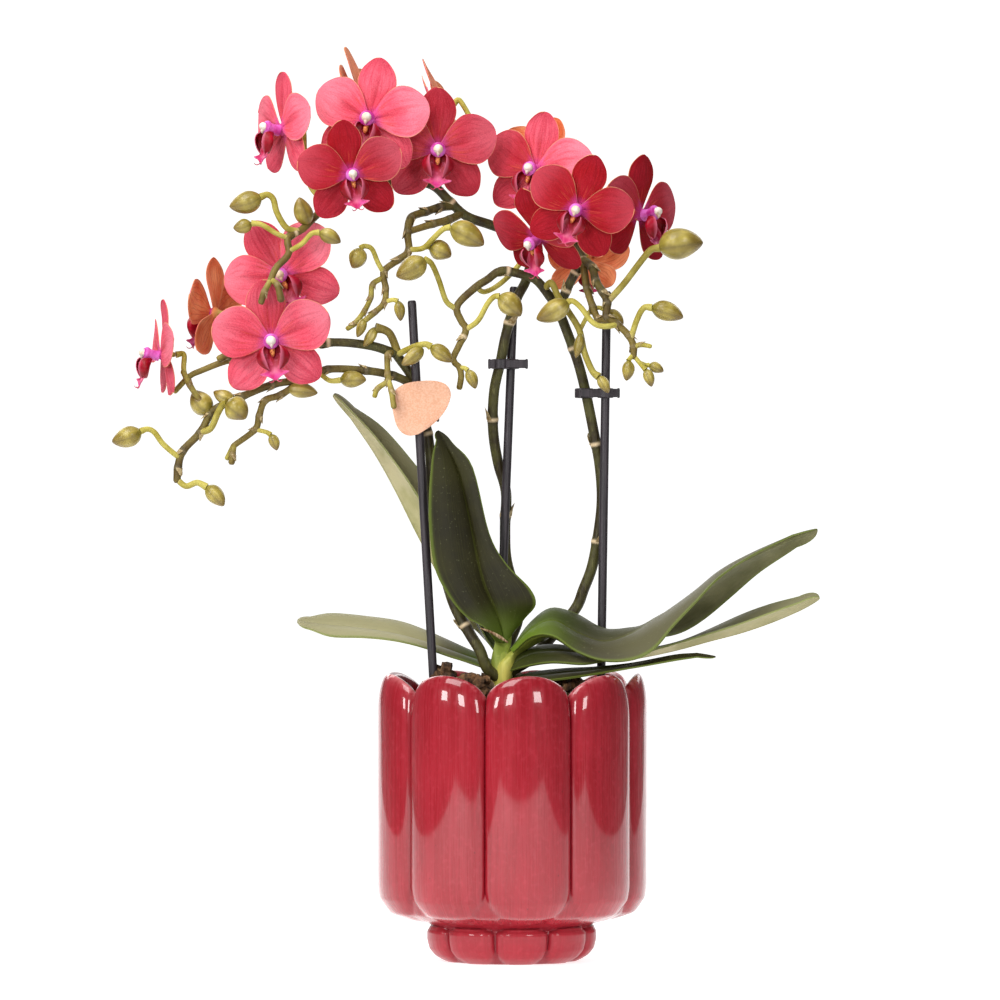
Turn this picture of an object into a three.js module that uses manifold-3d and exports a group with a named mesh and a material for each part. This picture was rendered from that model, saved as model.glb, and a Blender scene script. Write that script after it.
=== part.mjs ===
// Potted moth orchid in a lobed ceramic pot. Millimetres, +Z up, the front toward -Y.
// The origin is the centre of the flat underside of the pot's foot.
import * as THREE from 'three';
import { mergeVertices } from 'three/addons/utils/BufferGeometryUtils.js';
import Module from 'manifold-3d';

const wasm = await Module();
wasm.setup();

// Driving dimensions of the pot
const LOBES = 9;
const LOBE_TURN = 8; // degrees from the front to the middle of the nearest lobe
const CORE_RADIUS = 53.5; // outer radius in the valleys between the lobes
const LOBE_DEPTH = 5.5; // how far a lobe stands out of the valleys
const NOTCH_HEIGHT = 117; // rim in a valley
const LOBE_RISE = 8; // rim on top of a lobe, above the notches
const LOBE_FOOT = 17.5; // lowest point of a lobe
const LOBE_END = 16.5; // height of a lobe's rounded lower end
const FOOT_RADIUS = 35.2;
const FOOT_LOBE_DEPTH = 1.8;
const INNER_RADIUS = 48.3; // inside of the wall in the valleys
const INNER_LOBE_DEPTH = 4;
const LEDGE_HEIGHT = 20; // inner ledge that carries the nursery pot
const FLOOR_HEIGHT = 7;

// Driving dimensions of what the pot holds
const SEAT = 0.3; // gap between pieces that rest on each other
const NURSERY_RADIUS = 45;
const NURSERY_FOOT_RADIUS = 39;
const NURSERY_WALL = 1;
const BARK_TOP = 116;
const CHIPS = 13;
const ROUND_SIDES = 18; // of the nursery pot and the bark in it
const STEM_SIDES = 5;
const TWIG_SIDES = 4; // of stems under the twig radius and of small buds
const TWIG_RADIUS = 1.95;
const SMALL_BUD = 3.5;
const CROWN_CENTRE = [-3, -3];
const LEAF_THICKNESS = 1.3;
const TEPAL_THICKNESS = 0.8;
const STICK_RADIUS = 1.9;
const STICK_FOOT = 85; // height of the sticks' lower ends, in the bark
const TAG_THICKNESS = 1;

const finish = (color, roughness, metalness = 0) =>
  new THREE.MeshStandardMaterial({ color, roughness, metalness });

const GLAZE = finish(0xb02c3a, 0.15);
const CLEAR_BROWN = finish(0x5a4a3c, 0.4);
const BARK = finish(0x3a2618, 0.9);
const FRESH_GREEN = finish(0x9aa63c, 0.5);
const LEAF_GREEN = finish(0x3f4a22, 0.4);
const STEM_GREEN = finish(0x5a5a2c, 0.55);
const BLACK_PLASTIC = finish(0x1c181b, 0.4);
const PEACH_CARD = finish(0xf0c3a0, 0.8);
const CORAL = finish(0xd83c50, 0.5);
const MAGENTA = finish(0xa8154a, 0.45);

const vector = ([x, y, z]) => new THREE.Vector3(x, y, z);
const radians = THREE.MathUtils.degToRad;
const lerp = THREE.MathUtils.lerp;

// A closed geometry from points and triangles, turned so that its faces point out
function closedGeometry(points, triangles) {
  let volume = 0;
  for (const [a, b, c] of triangles) {
    volume += points[a].dot(new THREE.Vector3().crossVectors(points[b], points[c]));
  }
  const index = triangles.flatMap(([a, b, c]) => (volume < 0 ? [a, c, b] : [a, b, c]));
  const positions = points.flatMap((point) => point.toArray());
  const geometry = new THREE.BufferGeometry();
  geometry.setAttribute('position', new THREE.Float32BufferAttribute(positions, 3));
  geometry.setIndex(index);
  return geometry;
}

// A skin from a start point through rings of points to an end point
function loft(start, rings, end) {
  const sides = rings[0].length;
  const points = [start, ...rings.flat(), end];
  const last = points.length - 1;
  const at = (ring, side) => 1 + ring * sides + (side % sides);
  const triangles = [];
  for (let side = 0; side < sides; side += 1) {
    triangles.push([0, at(0, side + 1), at(0, side)]);
    triangles.push([last, at(rings.length - 1, side), at(rings.length - 1, side + 1)]);
    for (let ring = 1; ring < rings.length; ring += 1) {
      triangles.push([at(ring - 1, side), at(ring - 1, side + 1), at(ring, side + 1)]);
      triangles.push([at(ring - 1, side), at(ring, side + 1), at(ring, side)]);
    }
  }
  return closedGeometry(points, triangles);
}

// Rings of points round a path, square to it, with a radius for each of its points
function ringsAlong(path, radii, sides) {
  const rings = [];
  let normal = new THREE.Vector3(0.13, 0.27, 0.95);
  for (let i = 0; i < path.length; i += 1) {
    const tangent = path[Math.min(i + 1, path.length - 1)].clone().sub(path[Math.max(i - 1, 0)]).normalize();
    normal = normal.clone().addScaledVector(tangent, -normal.dot(tangent)).normalize();
    const across = new THREE.Vector3().crossVectors(tangent, normal);
    const ring = [];
    for (let side = 0; side < sides; side += 1) {
      const angle = (2 * Math.PI * side) / sides;
      ring.push(path[i].clone()
        .addScaledVector(normal, Math.cos(angle) * radii[i])
        .addScaledVector(across, Math.sin(angle) * radii[i]));
    }
    rings.push(ring);
  }
  return rings;
}

const stemSides = (radius) => (radius < TWIG_RADIUS ? TWIG_SIDES : STEM_SIDES);
const budSides = (radius) => (radius < SMALL_BUD ? TWIG_SIDES : STEM_SIDES);

// A round stem through the given points, tapering from one radius to another
function stem(points, startRadius, endRadius, sides = stemSides(startRadius)) {
  const path = points.map(vector);
  const radii = path.map((_, i) => lerp(startRadius, endRadius, i / (path.length - 1)));
  return loft(path[0].clone(), ringsAlong(path, radii, sides), path[path.length - 1].clone());
}

// An egg with a pointed tip: fractions of its length, with fractions of its radius
const EGG = [[0.1, 0.62], [0.42, 1], [0.8, 0.62]];

function egg(base, tip, radius) {
  const from = vector(base);
  const to = vector(tip);
  const path = EGG.map(([fraction]) => from.clone().lerp(to, fraction));
  const radii = EGG.map(([, share]) => share * radius);
  return loft(from, ringsAlong(path, radii, budSides(radius)), to);
}

// A twig that ends in a bud: its path runs on through the egg as one skin
function budded(points, radius, tip, budRadius) {
  const path = points.map(vector);
  const base = path[path.length - 1].clone();
  const end = vector(tip);
  const radii = path.map(() => radius);
  for (const [fraction, share] of EGG) {
    path.push(base.clone().lerp(end, fraction));
    radii.push(share * budRadius);
  }
  return loft(path[0].clone(), ringsAlong(path, radii, budSides(budRadius)), end);
}

// A thin blade over a grid of points, split into triangles alike on both faces
function blade(rows, thickness, facing = null) {
  const last = rows.length - 1;
  const columns = rows[0].length;
  const front = [];
  const back = [];
  rows.forEach((row, r) => row.forEach((point, c) => {
    const along = rows[Math.min(r + 1, last)][c].clone().sub(rows[Math.max(r - 1, 0)][c]);
    const across = row[Math.min(c + 1, columns - 1)].clone().sub(row[Math.max(c - 1, 0)]);
    const normal = facing ? facing.clone() : new THREE.Vector3().crossVectors(along, across).normalize();
    front.push(point.clone().addScaledVector(normal, thickness / 2));
    back.push(point.clone().addScaledVector(normal, -thickness / 2));
  }));
  const f = (r, c) => r * columns + c;
  const b = (r, c) => front.length + r * columns + c;
  const triangles = [];
  for (let r = 0; r < last; r += 1) {
    for (let c = 0; c < columns - 1; c += 1) {
      triangles.push([f(r, c), f(r + 1, c), f(r + 1, c + 1)], [f(r, c), f(r + 1, c + 1), f(r, c + 1)]);
      triangles.push([b(r, c), b(r + 1, c + 1), b(r + 1, c)], [b(r, c), b(r, c + 1), b(r + 1, c + 1)]);
    }
    const end = columns - 1;
    triangles.push([f(r + 1, 0), f(r, 0), b(r, 0)], [f(r + 1, 0), b(r, 0), b(r + 1, 0)]);
    triangles.push([f(r, end), f(r + 1, end), b(r + 1, end)], [f(r, end), b(r + 1, end), b(r, end)]);
  }
  for (let c = 0; c < columns - 1; c += 1) {
    triangles.push([f(0, c), f(0, c + 1), b(0, c + 1)], [f(0, c), b(0, c + 1), b(0, c)]);
    triangles.push([f(last, c + 1), f(last, c), b(last, c)], [f(last, c + 1), b(last, c), b(last, c + 1)]);
  }
  return closedGeometry([...front, ...back], triangles);
}

function solidOf(geometry) {
  const bare = geometry.clone();
  bare.deleteAttribute('normal');
  bare.deleteAttribute('uv');
  const merged = mergeVertices(bare, 1e-4);
  return new wasm.Manifold(new wasm.Mesh({
    numProp: 3,
    vertProperties: Float32Array.from(merged.attributes.position.array),
    triVerts: Uint32Array.from(merged.index.array),
  }));
}

function joined(geometries) {
  return geometries.map(solidOf).reduce((whole, next) => whole.add(next));
}

// The largest body of a solid, as a geometry, without the loose scraps of a cut
function geometryOf(solid) {
  const bodies = solid.decompose();
  const largest = bodies.reduce((best, body) => (body.volume() > best.volume() ? body : best));
  const { vertProperties, triVerts } = largest.getMesh();
  const geometry = new THREE.BufferGeometry();
  geometry.setAttribute('position', new THREE.Float32BufferAttribute(vertProperties, 3));
  geometry.setIndex(Array.from(triVerts));
  return geometry;
}

const orchid = new THREE.Group();

function add(name, geometry, material) {
  const mesh = new THREE.Mesh(geometry, material);
  mesh.name = name;
  orchid.add(mesh);
  return mesh;
}

// A repeatable draw of numbers from 0 to 1 for the chips of bark
function seededDraw(seed) {
  let state = seed;
  return () => {
    state = (state * 16807) % 2147483647;
    return state / 2147483647;
  };
}

// Ceramic pot: every ring follows the lobes by their share, from 0 in a valley to 1 on a crest
const LOBE_STEPS = [-1, -0.66, 0, 0.66];

function potRing(place) {
  const ring = [];
  const halfLobe = 180 / LOBES;
  for (let lobe = 0; lobe < LOBES; lobe += 1) {
    for (const step of LOBE_STEPS) {
      const angle = radians(LOBE_TURN + (2 * lobe + step) * halfLobe);
      const [radius, height] = place(Math.abs(step));
      ring.push(new THREE.Vector3(Math.sin(angle) * radius, -Math.cos(angle) * radius, height));
    }
  }
  return ring;
}

const dome = (share) => Math.sqrt(Math.max(0, 1 - share));
const crest = (step) => dome(step * step);
const rimHeight = (step) => NOTCH_HEIGHT + LOBE_RISE * crest(step);
const fullRadius = (step) => CORE_RADIUS + LOBE_DEPTH * crest(step);
const innerRadius = (step) => INNER_RADIUS + INNER_LOBE_DEPTH * crest(step);

// Lower end of the lobes: round fingers on a core that turns in to the foot
function lowerRing(height, core) {
  const drop = Math.max(0, (LOBE_FOOT + LOBE_END - height) / LOBE_END);
  return potRing((step) => [core + LOBE_DEPTH * dome(step * step + drop * drop), height]);
}

function potGeometry() {
  const footRing = (height, radius, depth) => potRing((step) => [radius + depth * crest(step), height]);
  const rings = [
    footRing(0, FOOT_RADIUS - 4.5, 1),
    footRing(4, FOOT_RADIUS - 0.9, FOOT_LOBE_DEPTH),
    footRing(16.5, FOOT_RADIUS, FOOT_LOBE_DEPTH),
    lowerRing(18.4, 42),
    lowerRing(21.5, 50),
    lowerRing(28, CORE_RADIUS - 0.4),
    lowerRing(LOBE_FOOT + LOBE_END, CORE_RADIUS),
    potRing((step) => [fullRadius(step), rimHeight(step) - 11]),
    potRing((step) => [fullRadius(step) - 0.9, rimHeight(step) - 4]),
    potRing((step) => [fullRadius(step) - 2.2, rimHeight(step) - 1]),
    potRing((step) => [(fullRadius(step) + innerRadius(step)) / 2 - 0.4, rimHeight(step)]),
    potRing((step) => [innerRadius(step), rimHeight(step) - 2]),
    potRing((step) => [innerRadius(step), LOBE_FOOT + LOBE_END]),
    potRing(() => [INNER_RADIUS - 3, LEDGE_HEIGHT + 4]),
    potRing(() => [INNER_RADIUS - 7, LEDGE_HEIGHT]),
    potRing(() => [FOOT_RADIUS - 6, LEDGE_HEIGHT]),
    potRing(() => [FOOT_RADIUS - 7.5, FLOOR_HEIGHT]),
  ];
  return loft(new THREE.Vector3(0, 0, 0), rings, new THREE.Vector3(0, 0, FLOOR_HEIGHT));
}

add('pot', potGeometry(), GLAZE);

// Nursery pot: a thin cup with a turned-out rim, standing on the inner ledge
const NURSERY_BASE = LEDGE_HEIGHT + SEAT;
const NURSERY_TOP = BARK_TOP - 2;

function turned(profile, sides) {
  const geometry = new THREE.LatheGeometry(profile.map(([r, z]) => new THREE.Vector2(r, z)), sides);
  return geometry.rotateX(Math.PI / 2);
}

const nurseryProfile = [
  [0, NURSERY_BASE],
  [NURSERY_FOOT_RADIUS, NURSERY_BASE],
  [NURSERY_RADIUS, NURSERY_TOP - 3],
  [NURSERY_RADIUS + 1.5, NURSERY_TOP - 3],
  [NURSERY_RADIUS + 1.5, NURSERY_TOP],
  [NURSERY_RADIUS - NURSERY_WALL, NURSERY_TOP],
  [NURSERY_FOOT_RADIUS - NURSERY_WALL, NURSERY_BASE + NURSERY_WALL],
  [0, NURSERY_BASE + NURSERY_WALL],
];
add('grow_pot', turned(nurseryProfile, ROUND_SIDES), CLEAR_BROWN);

// Support sticks, from their feet in the bark to their tops
const STICKS = {
  stick_left: { foot: [-31.5, -5, STICK_FOOT], top: [-43, -5, 286.4] },
  stick_middle: { foot: [-6.8, 14, STICK_FOOT], top: [1.3, 14, 293] },
  stick_right: { foot: [38.6, 8, STICK_FOOT], top: [41.7, 8, 290.8] },
};

const stickSolid = ({ foot, top }, clearance = 0) => stem([
  [foot[0], foot[1], foot[2] - clearance],
  [top[0], top[1], top[2] + clearance],
], STICK_RADIUS + clearance, STICK_RADIUS + clearance, 8);

for (const [name, stick] of Object.entries(STICKS)) {
  add(name, stickSolid(stick), BLACK_PLASTIC);
}

// Crown: the short stem that the leaves sheathe, with its foot in a hole of the bark
const CROWN_FOOT = 96;
const CROWN_PROFILE = [[7, CROWN_FOOT], [9, 112], [8.2, 119], [6.4, 127], [5, 136], [3.6, 144]];
const CROWN_TOP = 148;

function crownGeometry(clearance = 0) {
  const centre = new THREE.Vector2(...CROWN_CENTRE);
  const path = CROWN_PROFILE.map(([, z]) => new THREE.Vector3(centre.x, centre.y, z));
  path[0].z -= clearance;
  const radii = CROWN_PROFILE.map(([radius]) => radius + clearance);
  const top = new THREE.Vector3(centre.x, centre.y, CROWN_TOP + clearance);
  return loft(path[0].clone(), ringsAlong(path, radii, 8), top);
}

add('crown', crownGeometry(), FRESH_GREEN);
const crownRoom = solidOf(crownGeometry(SEAT));

// Bark: one body of chips pressed together, with plain holes for the sticks and the crown
const CHIP_RISE = 3; // of the loose chips above the pressed ones
const CHIP_REACH = 34; // of the outermost chip from the middle
const GOLDEN_ANGLE = Math.PI * (3 - Math.sqrt(5));

function barkGeometry() {
  const draw = seededDraw(41);
  const wall = (height) => lerp(
    NURSERY_FOOT_RADIUS - NURSERY_WALL,
    NURSERY_RADIUS - NURSERY_WALL,
    (height - NURSERY_BASE) / (NURSERY_TOP - NURSERY_BASE),
  ) - 2 * SEAT;
  const base = NURSERY_BASE + NURSERY_WALL + SEAT;
  const top = BARK_TOP - CHIP_RISE;
  const pieces = [turned([[0, base], [wall(base), base], [wall(top), top], [0, top]], ROUND_SIDES)];
  for (let chip = 0; chip < CHIPS; chip += 1) {
    const turn = chip * GOLDEN_ANGLE;
    const reach = CHIP_REACH * Math.sqrt((chip + 0.5) / CHIPS);
    const box = new THREE.BoxGeometry(10 + 4 * draw(), 7 + 3 * draw(), 3.5 + 2 * draw());
    box.rotateX((draw() - 0.5) * 0.8).rotateY((draw() - 0.5) * 0.6).rotateZ(draw() * Math.PI);
    box.translate(Math.cos(turn) * reach, Math.sin(turn) * reach, top + 2.2 * draw());
    pieces.push(box);
  }
  let bark = joined(pieces).subtract(crownRoom);
  for (const stick of Object.values(STICKS)) {
    bark = bark.subtract(solidOf(stickSolid(stick, SEAT)));
  }
  return geometryOf(bark);
}

add('bark', barkGeometry(), BARK);

// Leaves: each from its front edge, its midrib and its back edge, base to tip
const LEAVES = {
  leaf_upright: {
    front: [[-7, -6, 139], [-12, -9, 145], [-19.5, -11, 149.5], [-27, -12, 158.5], [-33.4, -12, 172],
      [-35.6, -12, 194.4], [-34.4, -10, 216.6], [-32.4, -8, 226]],
    rib: [[-3, -3.5, 138], [-5, -4, 147], [-8, -4.5, 155], [-11.7, -5, 163.6], [-14.5, -5, 175],
      [-17.4, -5, 190], [-22.5, -5, 211], [-29.5, -6, 226.5]],
    back: [[1, -1, 143], [6, -4, 149], [10.7, -8.5, 155], [8, -9.5, 162], [-2, -9, 172.3],
      [-9.4, -9, 185.5], [-16.5, -8, 214], [-25.5, -7, 225]],
    tip: [-31.5, -7, 230],
  },
  leaf_back_left: {
    front: [[-5, -1, 131], [-12.2, 4, 142.2], [-19, 9, 160], [-28, 12, 178], [-38, 16, 196.5],
      [-48, 20, 213], [-58.5, 24, 227], [-70, 29, 238.5]],
    rib: [[-4, 1, 133], [-12, 8, 141.4], [-22, 16, 151], [-31, 22, 168], [-41, 27, 187], [-50, 31, 205],
      [-59, 34, 221], [-69.5, 35, 236.5]],
    back: [[-3, 3, 135], [-9, 13, 149], [-16, 24, 166], [-24, 32, 185], [-34, 37, 204.5],
      [-45, 40, 219.5], [-56.5, 41, 231.5], [-69, 39, 240.5]],
    tip: [-78, 36, 246],
  },
  leaf_low_left: {
    front: [[-5, -4, 125], [-14, -1.5, 128], [-24, -1, 131.5], [-36, -1, 135.5], [-50, -1, 138.5],
      [-65, 2, 140.5], [-79, 7, 141], [-88, 13, 143.5]],
    rib: [[-4, -1, 126], [-13, 5, 129.5], [-24, 9, 133], [-36, 11, 137], [-50, 13, 141],
      [-65, 16, 143.5], [-79, 18, 145], [-88, 19, 146]],
    back: [[-3, 2, 127], [-12, 12, 132], [-24, 20, 137.5], [-36, 24, 142], [-50, 27, 147],
      [-65, 28, 149.5], [-78, 27, 150], [-88, 24, 148.6]],
    tip: [-93.3, 20, 147],
  },
  leaf_wavy_right: {
    front: [[1, -7, 134], [9, -15, 140.5], [18, -19, 141], [28, -23, 135], [40, -27, 131],
      [53, -29, 131.3], [62, -28, 135.8], [70, -25.5, 146], [79, -22, 156], [89.4, -17.5, 166.4],
      [104, -11, 175.5], [122, -4, 184.5]],
    rib: [[0, -4.5, 135], [9, -9, 143.5], [18, -9, 147.5], [28, -10.5, 142.5], [40, -12.5, 138.5],
      [53, -12, 142.5], [62, -10, 148.4], [71, -9, 154], [81, -8, 161], [92, -7, 169.5],
      [105.5, -4, 176.8], [122, -1, 184]],
    back: [[1, -1, 136], [8, -0.5, 146], [17, 2, 153.2], [28, 2.5, 151], [40, 1.8, 144], [52, 4, 143.3],
      [62, 8.5, 140.5], [73, 10, 142.5], [84, 9.5, 148.5], [96, 8, 157.8], [109, 6, 169],
      [124, 3, 179.6]],
    tip: [132.8, 0, 187.4],
  },
  leaf_right: {
    front: [[-2, -7, 125.5], [7, -14.5, 128], [18, -21, 129.8], [32, -21, 129.4], [45, -16, 131.9],
      [58, -10, 134], [72, -9, 138], [86, -8.5, 142.5], [100, -8, 147], [113, -6.5, 151.3],
      [125, -4.5, 155.5]],
    rib: [[-2, -5, 127], [8, -9, 132.5], [18, -12, 134.3], [32, -11, 133], [45, -6.5, 131.2],
      [58, -1, 133], [72, 0, 136], [86, 0, 139.8], [100, -0.5, 143.5], [113, -1, 148], [125, -1.5, 153]],
    back: [[-2, -3, 128.5], [8, -3.5, 135.5], [19, -3, 137.5], [32, -2, 135.5], [45, 2.5, 133.5],
      [58, 7, 135], [72, 8.8, 138], [86, 9, 143.8], [100, 8, 149.8], [113, 5.5, 154.5], [125, 2, 158]],
    tip: [133.7, -1.5, 157.5],
  },
  leaf_low_right: {
    front: [[-2, -9, 119], [8, -18, 121.3], [20, -24, 122.8], [36, -27.5, 125], [53, -26.5, 127.9],
      [70, -25, 131], [80, -24, 132.3]],
    rib: [[-2, -7, 120.5], [9, -12.5, 123], [21, -16, 124.6], [36, -19.5, 126], [53, -20, 128.8],
      [70, -19.5, 132.3], [80, -20.5, 133.6]],
    back: [[-2, -5, 122], [10, -7, 125.5], [22, -9, 127], [36, -12.5, 127.6], [53, -14, 129.3],
      [70, -15, 132.6], [80, -17.5, 133.5]],
    tip: [88.1, -21, 132.5],
  },
};

function leafGeometry({ front, rib, back, tip }) {
  const rows = front.map((edge, i) => [edge, rib[i], back[i]].map(vector));
  const end = vector(tip);
  rows.push(rows[rows.length - 1].map((point) => point.clone().lerp(end, 0.85)));
  return geometryOf(solidOf(blade(rows, LEAF_THICKNESS)).subtract(crownRoom));
}

for (const [name, leaf] of Object.entries(LEAVES)) {
  add(name, leafGeometry(leaf), LEAF_GREEN);
}

// Blooms: the middle of each, its turn to the right, its tilt up, its roll and its size
const BLOOMS = [
  { at: [-99, -4, 360.6], turn: -60, tilt: 0, roll: 0, size: 1.02 },
  { at: [-61.2, -2, 364.6], turn: -8, tilt: 0, roll: 8, size: 1.1 },
  { at: [-69, -26, 339.8], turn: 8, tilt: -5, roll: -8, size: 0.97 },
  { at: [-31.9, 5, 352], turn: 2, tilt: -5, roll: 2, size: 1.08 },
  { at: [10.9, 8, 343.3], turn: -22, tilt: 0, roll: 11, size: 1.05 },
  { at: [28.6, -24, 325], turn: -8, tilt: -8, roll: 20, size: 0.98 },
  { at: [56.4, 14, 324.6], turn: 50, tilt: 0, roll: 4, size: 1.05 },
  { at: [11.7, -4, 314], turn: -35, tilt: -30, roll: 0, size: 0.95 },
  { at: [33.5, 24, 304], turn: 165, tilt: -30, roll: 0, size: 0.8 },
  { at: [-99, -1, 297.7], turn: -5, tilt: -6, roll: -28, size: 1.08 },
  { at: [-103, -22, 268.4], turn: 0, tilt: -5, roll: -7, size: 1.1 },
  { at: [-129.3, 5, 281], turn: -118, tilt: 0, roll: 0, size: 0.98 },
  { at: [-151, -4, 263], turn: -76, tilt: 0, roll: 6, size: 0.95 },
  { at: [-66, 31, 375.3], turn: -105, tilt: -15, roll: 0, size: 1 },
  { at: [-31, 36, 371.5], turn: -100, tilt: -20, roll: 0, size: 0.97 },
  { at: [13, 32, 347.6], turn: 160, tilt: 0, roll: -20, size: 0.85 },
];

// Tepals: direction in degrees round the bloom, length, half width, lift off the middle
// plane, forward bend at the tip and forward cup of the edges
const SEPAL = { length: 22.5, half: 7.8, lift: -0.9, bend: -0.5, cup: -0.5, widths: [0.16, 0.68, 1, 0.46] };
const PETAL = { length: 22.5, half: 10.3, lift: 0.9, bend: -1.2, cup: 1, widths: [0.14, 0.84, 1, 0.46] };
const TEPALS = [
  { ...SEPAL, angle: 90, length: 23.5, bend: 1.5 },
  { ...SEPAL, angle: -44 },
  { ...SEPAL, angle: -136, lift: -1.9 },
  { ...PETAL, angle: 21 },
  { ...PETAL, angle: 159 },
];
const TEPAL_ROOT = 1.2;
const BOSS_RADIUS = 3.2;
const STUB_LENGTH = 6;

function tepalGeometry({ angle, length, half, lift, bend, cup, widths }) {
  const turn = radians(angle);
  const rows = widths.map((width, station) => {
    const share = station / (widths.length - 1);
    const reach = TEPAL_ROOT + share * length;
    return [-1, 0, 1].map((across) => {
      const rounded = reach - 0.07 * length * Math.abs(across) * share;
      return new THREE.Vector3(
        rounded * Math.cos(turn) - across * width * half * Math.sin(turn),
        rounded * Math.sin(turn) + across * width * half * Math.cos(turn),
        lift + bend * share * share + cup * Math.abs(across) * Math.sin(Math.PI * share),
      );
    });
  });
  return blade(rows, TEPAL_THICKNESS, new THREE.Vector3(0, 0, 1));
}

// The five tepals with the boss that they grow from and the ovary behind it
function tepalsGeometry() {
  const profile = [[1.1, -STUB_LENGTH], [1.6, -2.6], [BOSS_RADIUS, -2.2], [BOSS_RADIUS, 1.6]];
  const axis = profile.map(([, z]) => new THREE.Vector3(0, 0, z));
  const radii = profile.map(([radius]) => radius);
  const foot = new THREE.Vector3(0, 0, -STUB_LENGTH);
  const boss = loft(foot, ringsAlong(axis, radii, STEM_SIDES), new THREE.Vector3(0, 0, 2.6));
  return geometryOf(joined([boss, ...TEPALS.map(tepalGeometry)]));
}

// Side lobe of the lip: centres of its rows with their half heights
const SIDE_LOBE = [[0.9, -1, 5, 0.6], [5.2, -4.2, 7.6, 3.8], [6.8, -2.4, 11.2, 1.8]];
// Middle lobe of the lip: places of its rows with their half widths
const MIDDLE_LOBE = [[-1.2, 4.4, 0.8], [-11, 8.8, 3.6], [-13.8, 10, 4.6]];

function lipGeometry() {
  const column = stem([[0, -0.6, 2.95], [0, 0.3, 6.2], [0, 0.7, 9.8]], 2.6, 1.8);
  const middle = blade(MIDDLE_LOBE.map(([y, z, half]) => [
    new THREE.Vector3(-half, y, z + 0.35 * half),
    new THREE.Vector3(0, y, z),
    new THREE.Vector3(half, y, z + 0.35 * half),
  ]), TEPAL_THICKNESS, new THREE.Vector3(0, 0.4, 0.92));
  const sides = [-1, 1].map((hand) => blade(SIDE_LOBE.map(([x, y, z, half]) => [
    new THREE.Vector3(hand * x, y - half, z),
    new THREE.Vector3(hand * x, y + half, z),
  ]), TEPAL_THICKNESS, new THREE.Vector3(0.75 * hand, 0, -0.66)));
  return geometryOf(joined([column, middle, ...sides]));
}

const tepalsShape = tepalsGeometry();
const lipShape = lipGeometry();

// Places a bloom's local frame: X to its right, Y up, Z out of its face
function bloomFrame({ at, turn, tilt, roll, size }) {
  const a = radians(turn);
  const e = radians(tilt);
  const face = new THREE.Vector3(Math.sin(a) * Math.cos(e), -Math.cos(a) * Math.cos(e), Math.sin(e));
  const right = new THREE.Vector3().crossVectors(new THREE.Vector3(0, 0, 1), face).normalize();
  const up = new THREE.Vector3().crossVectors(face, right);
  const frame = new THREE.Matrix4().makeBasis(right, up, face);
  frame.multiply(new THREE.Matrix4().makeRotationZ(-radians(roll)));
  frame.scale(new THREE.Vector3(size, size, size));
  frame.setPosition(vector(at));
  return frame;
}

BLOOMS.forEach((bloom, i) => {
  const number = String(i + 1).padStart(2, '0');
  const frame = bloomFrame(bloom);
  add(`bloom_${number}_tepals`, tepalsShape.clone(), CORAL).applyMatrix4(frame);
  add(`bloom_${number}_lip`, lipShape.clone(), MAGENTA).applyMatrix4(frame);
});

// Pedicel of a bloom: from its root on a branch, through given points, into the bloom's back
const PEDICEL_LEAD = 4;

function pedicel(number, ...route) {
  const frame = bloomFrame(BLOOMS[number - 1]);
  const behind = (distance) => new THREE.Vector3(0, 0, -STUB_LENGTH - distance).applyMatrix4(frame).toArray();
  return stem([...route, behind(PEDICEL_LEAD), behind(SEAT)], 1.2, 1);
}

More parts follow.
